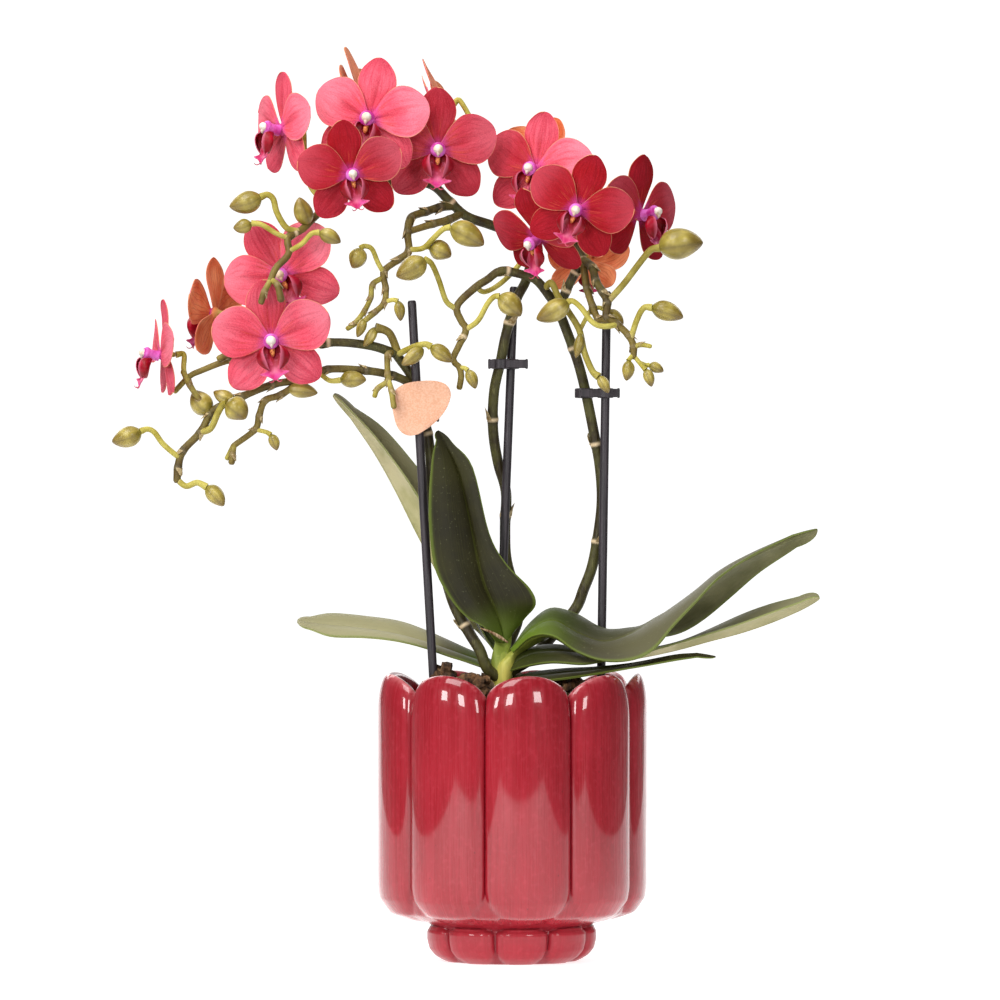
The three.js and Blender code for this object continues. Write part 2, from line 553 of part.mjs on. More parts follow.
// Spikes: each is one body of stems, twigs, pedicels and buds
const leftSpike = [
  stem([[-4, -5, 122], [-10.4, -8, 127.2], [-13.5, -8, 135], [-18.5, -6, 143.2], [-25.2, -3.5, 156],
    [-30.5, 0, 176],
    [-34, 0.5, 198], [-35.2, 0, 221.3], [-37.8, 0, 236], [-42.1, 0, 251.7], [-49.9, -2, 263.4]], 2.2, 1.9),
  stem([[-49.9, -2, 263.4], [-61.2, -4, 266.9], [-78.6, -5, 268.2], [-100.3, -6, 265.2],
    [-121.1, -6, 260.8], [-134.1, -6, 256], [-139.3, -6, 253.5], [-145.5, -7, 247]], 1.9, 1.1),
  stem([[-42.1, 0, 250], [-51.2, -3, 253.9], [-62.9, -6, 256], [-79.4, -8, 256.5], [-89.4, -9, 252],
    [-99.4, -9, 245.6], [-106.3, -10, 243], [-108.9, -10, 236.5], [-110.7, -10, 230.5],
    [-119.8, -11, 223.5]],
  1.7, 1.2),
  stem([[-119.8, -11, 223.5], [-122.8, -11, 217.9]], 1.2, 1),
  stem([[-119.8, -11, 223.5], [-120.3, -13, 219.5], [-120.7, -13.5, 216.1]], 1.1, 1.3),
  budded([[-110.7, -10, 230.5], [-106, -11, 229.4],
    [-103.8, -11.5, 228.2]], 0.9, [-101.2, -12, 221.4], 2.3),
  stem([[-89.4, -9, 252], [-103, -8, 250], [-116.3, -8, 244.8], [-126.7, -8, 240], [-130.2, -8, 237],
    [-134.5, -8, 229.2], [-141.9, -8, 221.3], [-144.1, -8, 214], [-144.5, -8, 208.3]], 1.5, 1.5),
  budded([[-144.5, -8, 208.9], [-140.6, -8.5, 206], [-135.8, -9, 207.5],
    [-131.6, -9.5, 205.6]], 1.2, [-124.2, -10, 197.4], 3.6),
  budded([[-143, -8, 218.4], [-145.4, -9, 219.8], [-150.6, -10, 224.4], [-154.1, -11, 229.2],
    [-157.1, -11.5, 230.6], [-160.2, -12, 229.7]], 1.1, [-172.4, -12.5, 225.2], 4.4),
  budded([[-134.5, -8, 229.2], [-129.8, -11, 231], [-126.7, -13, 237.4], [-124.3, -14, 241.4],
    [-122.6, -15, 242]], 1.3, [-114.5, -16, 235], 5.2),
  egg([-130.4, -7, 238], [-137.4, -4, 247.4], 4.8),
  egg([-119.6, -8, 243], [-128.8, -6.5, 247], 3.1),
  stem([[-131.2, -8, 238.5], [-134.5, -9, 243], [-138.9, -9, 249.6], [-141.9, -8, 255.6]], 1.2, 1.1),
  pedicel(13, [-134.5, -9, 243], [-138.9, -9, 249.6], [-141.6, -7, 256]),
  budded([[-83.2, -8.2, 255.2], [-78.6, -9, 251.7], [-73.8, -9, 251.8]], 1, [-62.6, -9.5, 251.9], 3.6),
  egg([-96.2, -9, 247.8], [-83.6, -10.5, 246.2], 3.3),
  stem([[-121.1, -6, 260.8], [-123, -8.5, 262.4], [-126.5, -9, 261.2]], 1.4, 1.2),
  budded([[-48, -1.5, 260.5], [-51.6, -3, 270.4], [-54.3, -4, 273.4],
    [-58.8, -5, 274.6]], 1.6, [-63.8, -6, 266.4], 2.3),
  stem([[-51.5, -2.5, 264], [-53.4, -7, 262.5], [-53.4, -9, 254.8], [-53, -9.5, 251.7], [-57.7, -10, 248.2],
    [-59, -10, 244.8]], 1.3, 1),
  stem([[-53.2, -9.3, 252.6], [-51.8, -11.5, 247.5], [-50.6, -12.5, 240.2]], 1, 1.2),
  budded([[-49, -2, 263], [-46, -8, 264.6], [-41.2, -12, 266.5], [-36.9, -12.5, 267.3],
    [-34.6, -12.5, 266.2]], 1.2, [-25.4, -13, 259.6], 3.3),
  egg([-38.2, -13, 265.6], [-47.2, -14.5, 258.4], 3),
  pedicel(10, [-84, -5.3, 267.8], [-88, 5, 274], [-96, 12, 288]),
  pedicel(11, [-96, -5.8, 265.8], [-102, -10, 264.4]),
  pedicel(12, [-117, -6, 261.7], [-116.5, -4.5, 272]),
];

const middleSpike = [
  stem([[-3, -1, 128], [-1, 8, 137], [3, 15, 148], [2, 18.2, 159], [-2, 18.7, 174], [-2.6, 18.7, 188],
    [-2.2, 18.7, 203.5], [-5.6, 18, 216], [-7.8, 15, 230.5], [-7.4, 12, 247], [-4.6, 10.2, 260],
    [-2.2, 9.2, 272],
    [2.2, 9.2, 286.9], [6.5, 13.5, 295.6], [8.4, 18.5, 305], [5.6, 20.5, 312.5], [0, 20.5, 317]], 2.2, 1.9),
  stem([[0, 20.5, 317], [-9.5, 19, 320.3], [-19.5, 16, 323.8], [-26.9, 14.5, 330.3], [-33.4, 14.5, 336.6],
    [-42, 14.5, 339], [-55, 10, 338], [-68, 5, 334.6], [-79.4, 0, 327.7], [-86, -8, 321.4],
    [-90.3, -13, 316.8],
    [-96.3, -17, 313.3], [-95.8, -21, 306], [-101.1, -24.5, 299.9], [-103.4, -27, 294.3]], 2, 1.3),
  stem([[-103.2, -26.8, 294.8], [-106, -29, 289.4], [-107.4, -29.5, 284.9]], 1.1, 1.3),
  stem([[-103.2, -26.8, 294.8], [-100.4, -29, 292.4], [-98.8, -29.8, 286]], 1, 1.5),
  budded([[-96.5, -17.4, 313], [-101.5, -20, 315], [-107.5, -21, 318.6],
    [-112, -21.5, 319.2]], 1, [-119.6, -23, 317], 3.1),
  budded([[-95.8, -20.5, 307], [-90, -22, 310.4], [-86, -22, 314.6],
    [-82.4, -22.5, 315.2]], 1, [-73.4, -23, 310.8], 3.2),
  budded([[-92, -14.5, 316], [-97, -17, 317.5], [-101, -18, 324], [-102.5, -18.5, 329.6],
    [-105, -19, 331.6], [-108, -19, 330.6]], 1.2, [-121.4, -20, 326.4], 4.7),
  egg([-87.6, -11, 319.4], [-91.5, -15, 330.6], 4),
  stem([[-70, 4, 334], [-73, 4, 345], [-77, 6, 352], [-78.6, 7, 356.6]], 1.3, 1.1),
  stem([[-24.5, 15, 328.2], [-31, 11.5, 327.4], [-37, 8.5, 325.4], [-43.4, 4, 322.6], [-44.9, 0, 316],
    [-44.4, -3, 308.1], [-48.6, -4, 304.2], [-55, -5, 299], [-54.3, -5.5, 291.6], [-54.8, -6, 285.6],
    [-59, -7, 281.2], [-63.4, -8, 277.4]], 1.7, 1.1),
  stem([[-54.8, -5, 296.6], [-59.9, -5, 293.4], [-60.8, -4.5, 287.7], [-63.4, -4, 282.1],
    [-67.7, -4, 276.5], [-70.9, -4, 274.2]], 1.1, 1),
  stem([[-21.5, 15.5, 325], [-27, 10, 322], [-33.9, 6, 320], [-44.6, 0.5, 316.4]], 1.7, 1.3),
  budded([[-55.2, -5, 298.4], [-57.7, -7, 302.9], [-60.2, -8.5, 308.6], [-63.4, -9, 309.8],
    [-65.2, -9.4, 308.8]], 1, [-68.6, -10, 300.2], 3.9),
  budded([[-44.6, -2.8, 308.4], [-38.2, -6, 309], [-33.9, -8, 312.9], [-29.5, -9, 317],
    [-26, -9.5, 318]], 1.1, [-11.8, -10.5, 310.2], 5.2),
  budded([[-38, -6, 309.2], [-36.2, -5, 309.6], [-35.2, -4.5, 309.6]], 1, [-26, -4, 305.4], 4.3),
  budded([[-54.8, -6, 285.8], [-51, -7, 286.6], [-49, -7.5, 286]], 0.9, [-47.8, -8, 277.4], 2.3),
  egg([-63.6, -8, 278.4], [-66.6, -8.5, 270.4], 2.1),
  pedicel(1, [-79.4, 0, 327.7], [-87, 2, 336], [-89.5, 4, 348]),
  pedicel(2, [-55, 10, 338], [-54, 13, 350], [-58, 12, 361]),
  pedicel(3, [-67, 5.4, 334.8], [-69, -4, 337]),
  pedicel(4, [-36, 14.5, 337], [-33, 19, 345]),
  pedicel(14, [-60, 8, 336.8], [-54, 22, 348], [-50, 29, 362]),
  pedicel(15, [-40, 14.5, 338.4], [-25, 22, 346], [-16, 32, 360]),
];

const rightSpike = [
  stem([[0, -2, 126], [9, 4, 131.5], [19, 10, 142], [28.2, 13, 152.8], [31.6, 13.2, 161], [35.6, 13.2, 172],
    [38.7, 13.2, 189.7], [39.6, 13.2, 202], [38.6, 13.2, 215.3], [36.6, 12.2, 226.5], [34.3, 11.4, 238.3],
    [31.8, 10.8, 250], [28.8, 10.3, 261], [24.3, 10, 273.4], [20.8, 10, 282.5]], 2.3, 2),
  stem([[20.8, 10, 282.5], [16.1, 8.6, 289.5], [10.4, 6.6, 296], [2.2, 5.4, 298.6], [-4.8, 4, 299.5],
    [-10.4, 3, 295.6], [-15.2, 2, 292.5], [-23.4, 0.5, 284.3], [-21.7, 0, 277.8], [-19.5, 0, 273.9],
    [-22.6, -1, 266.9], [-25.2, -1.5, 260.8], [-22.6, -2, 257.8], [-21.6, -2, 253.9],
    [-22.4, -2, 248.6]], 1.9, 1.2),
  budded([[-22.4, -2, 257.4], [-20.2, -3, 257.2], [-18.8, -3.4, 256.2]], 0.9, [-15.4, -4, 248.2], 2.5),
  budded([[-24.2, 0.5, 283], [-28.2, -2, 286.4], [-31.2, -4.5, 295], [-34.3, -10, 302],
    [-37.4, -12.2, 304]], 1.1, [-49.6, -13.5, 296.6], 5),
  budded([[-19.5, 0, 273.9], [-14.3, -2.5, 277.8], [-10.4, -4, 284.7], [-7.4, -4.5, 288],
    [-5, -5, 288.2]], 1.1, [4.2, -6, 279.6], 4.8),
  stem([[20.8, 10, 282.5], [24, 10, 291], [28, 9.5, 299], [31, 8, 304.5], [27.5, 12, 312.5],
    [22, 16.5, 323], [17.6, 19, 333]], 1.9, 1.4),
  stem([[31, 8, 304.5], [35.2, 1, 301], [36.7, -2, 295.1], [39.5, -4, 290.3], [41.7, -5, 285.6],
    [41.4, -5, 279.4], [46, -5, 276], [50.8, -6, 271.3], [53, -6, 266.5], [53, -6, 261.7]], 1.7, 1.3),
  budded([[42.6, -4.8, 286.6], [49, -7, 293.8], [55.6, -9, 302.5], [60.3, -10, 308],
    [64.2, -10.5, 309]], 1.3, [83, -11, 311.2], 6.6),
  budded([[51.8, -6, 269.6], [54.3, -8, 277.6], [57.3, -9, 283],
    [61, -9.5, 283.2]], 1.2, [74.4, -10, 278.8], 4.2),
  stem([[53, -6, 266], [56, -7, 267.2], [60.3, -8, 266.5]], 1, 0.9),
  budded([[53, -6, 263], [51.4, -7, 261.2], [50.8, -7.4, 260.2]], 0.9, [49.8, -8, 251.6], 2.7),
  budded([[53, -6, 262.6], [56.6, -6.5, 258.2], [58.2, -7, 256.4]], 0.9, [60.8, -7.5, 249], 2.3),
  budded([[55.2, -6.3, 259.8], [58, -5, 258.6], [59.8, -4.7, 258.4]], 0.8, [66, -4, 255.6], 2.3),
  budded([[46, -5, 276], [42.3, -8, 275.2], [37.8, -9, 275.4], [34.3, -9, 277.8], [30.4, -8, 283],
    [26.9, -7, 286], [24.6, -6, 285.8]], 1.1, [11, -6, 278.2], 4.6),
  budded([[14.6, 8.2, 291.5], [17.4, 3.5, 294.4], [20.6, 2, 288], [24.3, 1, 282.6],
    [29.5, 0, 273.9], [31.7, -1, 264.3], [35.2, -2, 256], [38, -3, 253.4]], 1.3, [42.2, -4, 246.4], 2.4),
  egg([30.2, -1.4, 272], [28, -2.6, 261.6], 2.2),
  stem([[31.4, 6, 302.5], [33, 4, 292], [35.4, 1.6, 284], [37.8, -1.5, 278.6],
    [41.8, -4.6, 278]], 1.5, 1.3),
  budded([[29.8, 0, 273.4], [32.4, 2, 278.6], [35, 3, 282.8], [38.6, 2, 283.4],
    [41.8, 0.8, 281.8]], 0.9, [48.6, -0.4, 276], 2.8),
  pedicel(5, [18.4, 18.5, 331], [17.5, 19, 338]),
  pedicel(6, [27.5, 12, 312.5], [29.5, 2, 315], [30, -9, 321]),
  pedicel(7, [30, 10, 307], [41, 17, 311], [47, 21.5, 319]),
  pedicel(8, [-15, 2, 292.3], [-11.5, 6, 290.5], [-5, 13, 294], [3, 17, 302], [11, 12.5, 313.5]),
  pedicel(9, [30.6, 8.5, 303.5], [30, 11, 307.5]),
  pedicel(16, [17.6, 19, 333], [15, 17.5, 340]),
];

function spike(name, pieces) {
  const solid = joined(pieces).subtract(crownRoom);
  add(name, geometryOf(solid), STEM_GREEN);
  return solid;
}

spike('spike_left', leftSpike);
spike('spike_middle', middleSpike);
spike('spike_right', rightSpike);

// Clips: a bar round the stick and the stem, with a hole for each
function clipGeometry({ centre, length, depth, height }, stick, stemPoints, stemRadius) {
  const outline = new THREE.Shape();
  outline.moveTo(-length / 2, -depth / 2);
  outline.lineTo(length / 2, -depth / 2);
  outline.lineTo(length / 2, depth / 2);
  outline.lineTo(-length / 2, depth / 2);
  const bar = new THREE.ExtrudeGeometry(outline, { depth: height, bevelEnabled: false });
  bar.translate(centre[0], centre[1], centre[2] - height / 2);
  const stemRoom = stem(stemPoints, stemRadius + SEAT, stemRadius + SEAT, 6);
  return geometryOf(solidOf(bar).subtract(solidOf(stickSolid(stick, SEAT))).subtract(solidOf(stemRoom)));
}

const CLIP_HEIGHT = 4.3;
const LEFT_CLIP = { centre: [-38.6, -2.4, 236], length: 15, depth: 11, height: CLIP_HEIGHT };
const STEM_IN_CLIP = 2.2; // radius of the stems at their clips

add('clip_left', clipGeometry(
  LEFT_CLIP,
  STICKS.stick_left,
  [[-35.2, 0, 221.3], [-37.8, 0, 236], [-42.1, 0, 251.7]],
  STEM_IN_CLIP,
), BLACK_PLASTIC);
add('clip_middle', clipGeometry(
  { centre: [-1.3, 12, 259.2], length: 17.4, depth: 11.6, height: CLIP_HEIGHT },
  STICKS.stick_middle,
  [[-7.4, 12, 247], [-4.6, 10.2, 260], [-2.2, 9.2, 272]],
  STEM_IN_CLIP,
), BLACK_PLASTIC);
add('clip_right', clipGeometry(
  { centre: [38.6, 9.4, 246.5], length: 17.4, depth: 9.6, height: CLIP_HEIGHT },
  STICKS.stick_right,
  [[34.3, 11.4, 238.3], [31.8, 10.8, 250], [28.8, 10.3, 261]],
  STEM_IN_CLIP,
), BLACK_PLASTIC);

// Tag: a card with three rounded corners, flat against the front of the left clip
function tagGeometry() {
  const card = new THREE.Shape();
  card.moveTo(-12.8, 3);
  card.quadraticCurveTo(-12.8, 10.5, -2, 11.5);
  card.quadraticCurveTo(12.8, 13.5, 12.8, 5.5);
  card.quadraticCurveTo(11.5, -4, -1, -11.2);
  card.quadraticCurveTo(-8, -14, -11, -7);
  card.quadraticCurveTo(-12.6, -2, -12.8, 3);
  const settings = { depth: TAG_THICKNESS, bevelEnabled: false, curveSegments: 4 };
  return new THREE.ExtrudeGeometry(card, settings).rotateX(Math.PI / 2);
}

const tagBack = LEFT_CLIP.centre[1] - LEFT_CLIP.depth / 2 - SEAT;
add('tag', tagGeometry(), PEACH_CARD).position.set(-38.8, tagBack, 239.8);

export default orchid;
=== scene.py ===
# %% [markdown]
# # A potted moth orchid
# The plant stands in bark in a lobed ceramic pot, with three staked flower spikes that arch
# over its leaves. A packed CAD model already holds every piece at its true size and place.
# So each step below takes one piece, makes it again with the fine shape of the living or
# glazed thing, and gives it a finish. All shapes are worked out in millimetres.

# %% Load the frame
import math
import random
from collections import namedtuple

import bpy
import numpy as np
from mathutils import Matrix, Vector


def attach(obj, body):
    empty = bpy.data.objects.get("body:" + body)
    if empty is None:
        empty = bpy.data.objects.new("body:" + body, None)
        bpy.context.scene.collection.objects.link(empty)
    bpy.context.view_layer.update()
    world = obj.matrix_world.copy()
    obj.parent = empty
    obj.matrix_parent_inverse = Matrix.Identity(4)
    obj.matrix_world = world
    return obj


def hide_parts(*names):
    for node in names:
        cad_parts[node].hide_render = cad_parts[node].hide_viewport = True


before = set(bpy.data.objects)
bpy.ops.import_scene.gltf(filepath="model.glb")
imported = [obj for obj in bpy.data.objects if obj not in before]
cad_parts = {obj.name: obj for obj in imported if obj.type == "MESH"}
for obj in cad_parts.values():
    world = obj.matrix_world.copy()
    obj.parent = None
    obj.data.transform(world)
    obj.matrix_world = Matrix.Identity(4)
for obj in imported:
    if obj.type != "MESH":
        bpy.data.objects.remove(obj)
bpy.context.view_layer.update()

# %% [markdown]
# ## Camera
# The photograph looks level at the plant from far off, so upright lines stay parallel.
# A long lens three metres away gives the same flat view. The camera comes first, because
# every later step is judged through it.

# %% Camera
camera_data = bpy.data.cameras.new("camera")
camera_data.lens = 249
camera_data.sensor_width = 36
camera = bpy.data.objects.new("camera", camera_data)
camera.location = (-0.0048, -3.0, 0.2)
camera.rotation_euler = (math.radians(90), 0, 0)
bpy.context.scene.collection.objects.link(camera)
bpy.context.scene.camera = camera
print("camera lens in mm:", camera_data.lens)

# %% [markdown]
# ## A shape
# Each piece is gathered as points and faces before Blender sees it. Beside its place, a
# point can carry marks, such as how far along a petal it lies. The finishes read the marks
# later, so a vein or a pale edge follows the petal and not the world.

# %% Gather points, faces and marks
METRES = 0.001  # in a millimetre
made = {}  # the triangles of each finished piece


class Shape:
    """Points in millimetres with marks on them, and faces with a finish number."""

    def __init__(self):
        self.points = []
        self.faces = []
        self.finishes = []
        self.marks = {}
        self.count = 0

    def add(self, points, faces, finish=0, **marks):
        """Adds a skin. A mark is one number for the whole skin, or one for each point."""
        self.points.append(points)
        self.faces += [[self.count + corner for corner in face] for face in faces]
        self.finishes += [finish] * len(faces)
        for name, values in marks.items():
            values = np.broadcast_to(np.ravel(values), len(points))
            self.marks.setdefault(name, []).append((self.count, values))
        self.count += len(points)

    def build(self, name, finishes, slot, node, sharp):
        """Makes the piece that stands for a CAD node. Edges over sharp degrees stay crisp."""
        mesh = bpy.data.meshes.new(name)
        mesh.from_pydata((np.vstack(self.points) * METRES).tolist(), [], self.faces)
        for finish in finishes:
            mesh.materials.append(finish.material)
        mesh.polygons.foreach_set("material_index", self.finishes)
        for mark, parts in self.marks.items():
            values = np.zeros(self.count, np.float32)
            for start, part in parts:
                values[start:start + len(part)] = part
            mesh.attributes.new(mark, "FLOAT", "POINT").data.foreach_set("value", values)
        mesh.shade_smooth()
        mesh.set_sharp_from_angle(angle=math.radians(sharp))
        mesh.update()
        piece = bpy.data.objects.new(name, mesh)
        bpy.context.scene.collection.objects.link(piece)
        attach(piece, "root")
        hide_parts(node)
        made[name] = sum(len(face) - 2 for face in self.faces)


print("a shape starts with", Shape().count, "points")

# %% [markdown]
# ## Curves, skins and blades
# Almost all of a plant is one of two forms: a round stem that follows a curve, or a thin
# blade. A smooth curve through a few measured points is enough for both. Blender's curve
# objects could sweep the stems, but they can't swell at a node or carry marks, so the rings
# are set out here.

# %% Smooth curves
def spline(points, steps):
    """A smooth curve through the points, with that many steps between two of them."""
    p = np.array(points, float)
    p = np.vstack([2 * p[0] - p[1], p, 2 * p[-1] - p[-2]])
    t = (np.arange(steps) / steps)[:, None]
    stretches = []
    for a, b, c, d in zip(p, p[1:], p[2:], p[3:]):
        squared = 2 * a - 5 * b + 4 * c - d
        cubed = 3 * (b - c) + d - a
        stretches.append(b + 0.5 * t * (c - a + t * (squared + t * cubed)))
    return np.vstack([*stretches, p[-2:-1]])


def unit(vectors):
    """Each vector at length one."""
    return vectors / np.maximum(np.linalg.norm(vectors, axis=-1, keepdims=True), 1e-9)


def turns_of(sides):
    """The angles of points spaced evenly round a ring."""
    return np.arange(sides) * 2 * math.pi / sides


print("a test curve has", len(spline([(0, 0, 0), (0, 5, 10), (0, 0, 20)], 4)), "points")

# %% Skins over rings
def skin_over(first, rings, last):
    """Points and faces of a closed skin: a pole, rings of as many points each, and a pole."""
    rings = np.asarray(rings, float)
    rows, sides = rings.shape[:2]
    end = rows * sides + 1
    faces = []
    for side in range(sides):
        after = (side + 1) % sides
        faces.append((0, 1 + after, 1 + side))
        faces.append((end, end - sides + side, end - sides + after))
        for low in range(1, end - sides, sides):
            high = low + sides
            faces.append((low + side, low + after, high + after, high + side))
    return np.vstack([[first], rings.reshape(-1, 3), [last]]), faces


def directions(path):
    """Two directions across a path at each of its points, without twist along it."""
    tangents = unit(np.gradient(path, axis=0))
    normal = np.array([0.13, 0.27, 0.95])
    normals = []
    for tangent in tangents:
        normal = unit(normal - tangent * normal.dot(tangent))
        normals.append(normal)
    return np.array(normals), np.cross(tangents, normals)


def tube(path, radii, sides):
    """A round skin along a path. radii has one number for a ring, or one for each side."""
    normals, across = (rows[:, None] for rows in directions(path))
    turns = turns_of(sides)[None, :, None]
    radii = np.asarray(radii, float).reshape(len(path), -1, 1)
    rings = path[:, None] + radii * (np.cos(turns) * normals + np.sin(turns) * across)
    return skin_over(path[0], rings, path[-1])


def ringed(values, sides):
    """One value for each ring, repeated for the ring's points and its two poles."""
    values = np.asarray(values, float)
    return np.concatenate([values[:1], np.repeat(values, sides), values[-1:]])


points, faces = tube(spline([(0, 0, 0), (0, 5, 10), (0, 0, 20)], 4), np.ones(9), 8)
print("a test stem has", len(points), "points and", len(faces), "faces")

# %% Blades
def grid_faces(number):
    """A face for each cell of a grid of point numbers."""
    cells = np.ndindex(number.shape[0] - 1, number.shape[1] - 1)
    return [(number[i, j], number[i, j + 1], number[i + 1, j + 1], number[i + 1, j]) for i, j in cells]


def blade(middle, thickness, flip=False):
    """A closed blade over a grid of points: its points, its faces, and 1 where they lie in front."""
    rows, columns = middle.shape[:2]
    normal = unit(np.cross(np.gradient(middle, axis=0), np.gradient(middle, axis=1)))
    half = 0.5 * np.broadcast_to(thickness, (rows, columns))[..., None] * (-normal if flip else normal)
    points = np.vstack([(middle + half).reshape(-1, 3), (middle - half).reshape(-1, 3)])
    size = rows * columns
    number = np.arange(size).reshape(rows, columns)
    faces = [face[::-1] for face in grid_faces(number)] + grid_faces(number + size)
    rim = [*number[0], *number[1:, -1], *number[-1, -2::-1], *number[-2:0:-1, 0]]
    faces += [(a, b, size + b, size + a) for a, b in zip(rim, rim[1:] + rim[:1])]
    if flip:
        faces = [face[::-1] for face in faces]
    return points, faces, np.repeat([1.0, 0.0], size)


def twice(values):
    """Grid values for the front of a blade and again for its back."""
    return np.concatenate([np.ravel(values), np.ravel(values)])


points, faces, _ = blade(np.dstack(np.meshgrid(range(4), range(3), [0])).reshape(3, 4, 3), 0.5)
print("a test blade has", len(points), "points and", len(faces), "faces")

# %% [markdown]
# ## Finishes written as sums
# A finish is a node tree. Drawn by hand, its arithmetic spreads over dozens of boxes, so one
# small class wraps a socket, and a sum such as 1 - mask adds its own Math nodes. Every other
# node comes from one method. Colours are mixed with Mix nodes, because a Math node would
# turn them grey.

# %% Sockets with arithmetic
class Wire:
    """A socket of a finish. A sum written with it adds Math nodes to that finish."""

    def __init__(self, finish, node, key=0):
        self.finish = finish
        self.node = node
        self.socket = pick(node.outputs, key)

    def of(self, key):
        """Another output of the same node."""
        return Wire(self.finish, self.node, key)

    def math(self, operation, *values):
        return self.finish.node("ShaderNodeMath", {"operation": operation}, dict(enumerate(values)))

    def __add__(self, other):
        return self.math("ADD", self, other)

    def __sub__(self, other):
        return self.math("SUBTRACT", self, other)

    def __rsub__(self, other):
        return self.math("SUBTRACT", other, self)

    def __mul__(self, other):
        return self.math("MULTIPLY", self, other)

    def __abs__(self):
        return self.math("ABSOLUTE", self)

    __radd__ = __add__
    __rmul__ = __mul__


def pick(sockets, key):
    """A socket by its number, its identifier or its name."""
    if isinstance(key, int):
        return sockets[key]
    named = [socket for socket in sockets if socket.identifier == key]
    return (named or [socket for socket in sockets if socket.name == key])[0]


def colour(red, green, blue):
    """A linear colour from the 0 to 255 values read off a picture."""
    values = (v / 255 for v in (red, green, blue))
    return tuple(v / 12.92 if v <= 0.04045 else ((v + 0.055) / 1.055) ** 2.4 for v in values)


print("mid grey is", [round(v, 3) for v in colour(128, 128, 128)])

# %% A finish
class Finish:
    """A material with one Principled surface, whose fixed values are set on its own sockets."""

    def __init__(self, name, **fixed):
        self.material = bpy.data.materials.new(name)
        self.material.use_nodes = True
        self.tree = self.material.node_tree
        self.tree.nodes.clear()
        end = self.tree.nodes.new("ShaderNodeOutputMaterial")
        self.surface = self.tree.nodes.new("ShaderNodeBsdfPrincipled")
        self.tree.links.new(self.surface.outputs[0], end.inputs["Surface"])
        for name, value in fixed.items():
            self.set(name.replace("_", " ").title().replace("Ior", "IOR"), value)

    def plug(self, node, key, value):
        """Links a wire to a socket, or sets its value. A colour is three numbers up to 255."""
        socket = pick(node.inputs, key)
        if isinstance(value, Wire):
            self.tree.links.new(value.socket, socket)
        elif socket.type == "RGBA":
            socket.default_value = (*colour(*value), 1)
        else:
            socket.default_value = value

    def set(self, key, value):
        self.plug(self.surface, key, value)

    def node(self, kind, settings, sockets):
        """A node of that kind. Its settings come first, and then the values of its sockets."""
        node = self.tree.nodes.new(kind)
        for name, value in settings.items():
            setattr(node, name, value)
        for key, value in sockets.items():
            self.plug(node, key, value)
        return Wire(self, node)

    def mark(self, name):
        return self.node("ShaderNodeAttribute", {"attribute_name": name}, {}).of("Fac")

    def marks(self, *names):
        return [self.mark(name) for name in names]

    def place(self):
        return self.node("ShaderNodeTexCoord", {}, {}).of("Object")

    def vector(self, x, y, z):
        return self.node("ShaderNodeCombineXYZ", {}, {0: x, 1: y, 2: z})

    def noise(self, scale, detail, where=None):
        """Noise over the object, or over another vector."""
        sockets = {"Vector": where or self.place(), "Scale": scale, "Detail": detail}
        return self.node("ShaderNodeTexNoise", {}, sockets)

    def fibres(self, scales, detail):
        """Noise drawn out to fibres, with a scale of its own along each axis."""
        sockets = {0: self.place(), 1: scales}
        drawn = self.node("ShaderNodeVectorMath", {"operation": "MULTIPLY"}, sockets)
        return self.noise(1.0, detail, drawn)

    def step(self, value, low, high):
        """0 below low, 1 above high, and smooth between."""
        sockets = {"Value": value, "From Min": low, "From Max": high}
        return self.node("ShaderNodeMapRange", {"interpolation_type": "SMOOTHSTEP"}, sockets)

    def mix(self, mask, below, above):
        sockets = {"Factor_Float": mask, "A_Color": below, "B_Color": above}
        return self.node("ShaderNodeMix", {"data_type": "RGBA"}, sockets).of("Result_Color")

    def bump(self, height, strength, distance):
        sockets = {"Height": height, "Strength": strength, "Distance": distance}
        self.set("Normal", self.node("ShaderNodeBump", {}, sockets))


print("a finish can", ", ".join(name for name in vars(Finish) if not name.startswith("_")))

# %% [markdown]
# ## Glaze
# The pot is dipped in raspberry-red glaze, and the brush or the dip leaves upright streaks.
# Over the crests of the rim the glaze is thin and paler, with a painted highlight on it;
# painted shade darkens the creases, painted light from the table brightens the foot, and
# pinholes speckle it. Object coordinates stretched along Z would streak the flat foot too,
# so the streaks follow two marks, the way round the pot and the height.

# %% Glaze
glaze = Finish("raspberry_glaze", coat_roughness=0.03, specular_ior_level=0.15)
around, height, thin, pool = glaze.marks("around", "height", "thin", "pool")
brush = glaze.noise(1.0, 6.0, glaze.vector(around * 0.42, height * 0.012, 0.0))
fine_brush = glaze.noise(1.0, 4.0, glaze.vector(around * 2.1, height * 0.035, 4.0))
ripple = glaze.noise(1.0, 2.0, glaze.vector(around * 0.3, height * 0.06, 1.0))
cloud = glaze.noise(22.0, 3.0)
mottle = glaze.noise(420.0, 4.0)
dots = glaze.node("ShaderNodeTexVoronoi", {}, {"Vector": glaze.place(), "Scale": 300.0})
chance = glaze.noise(120.0, 1.0)

streak = glaze.step(brush * 0.6 + fine_brush * 0.4, 0.4, 0.6)
thin_glaze_and_highlight = thin * glaze.step(cloud + mottle, 0.85, 1.15)
pinhole = (1 - glaze.step(dots.of("Distance"), 0.06, 0.14)) * glaze.step(chance, 0.62, 0.68)
foot = 1 - glaze.step(height, 14.0, 20.0)

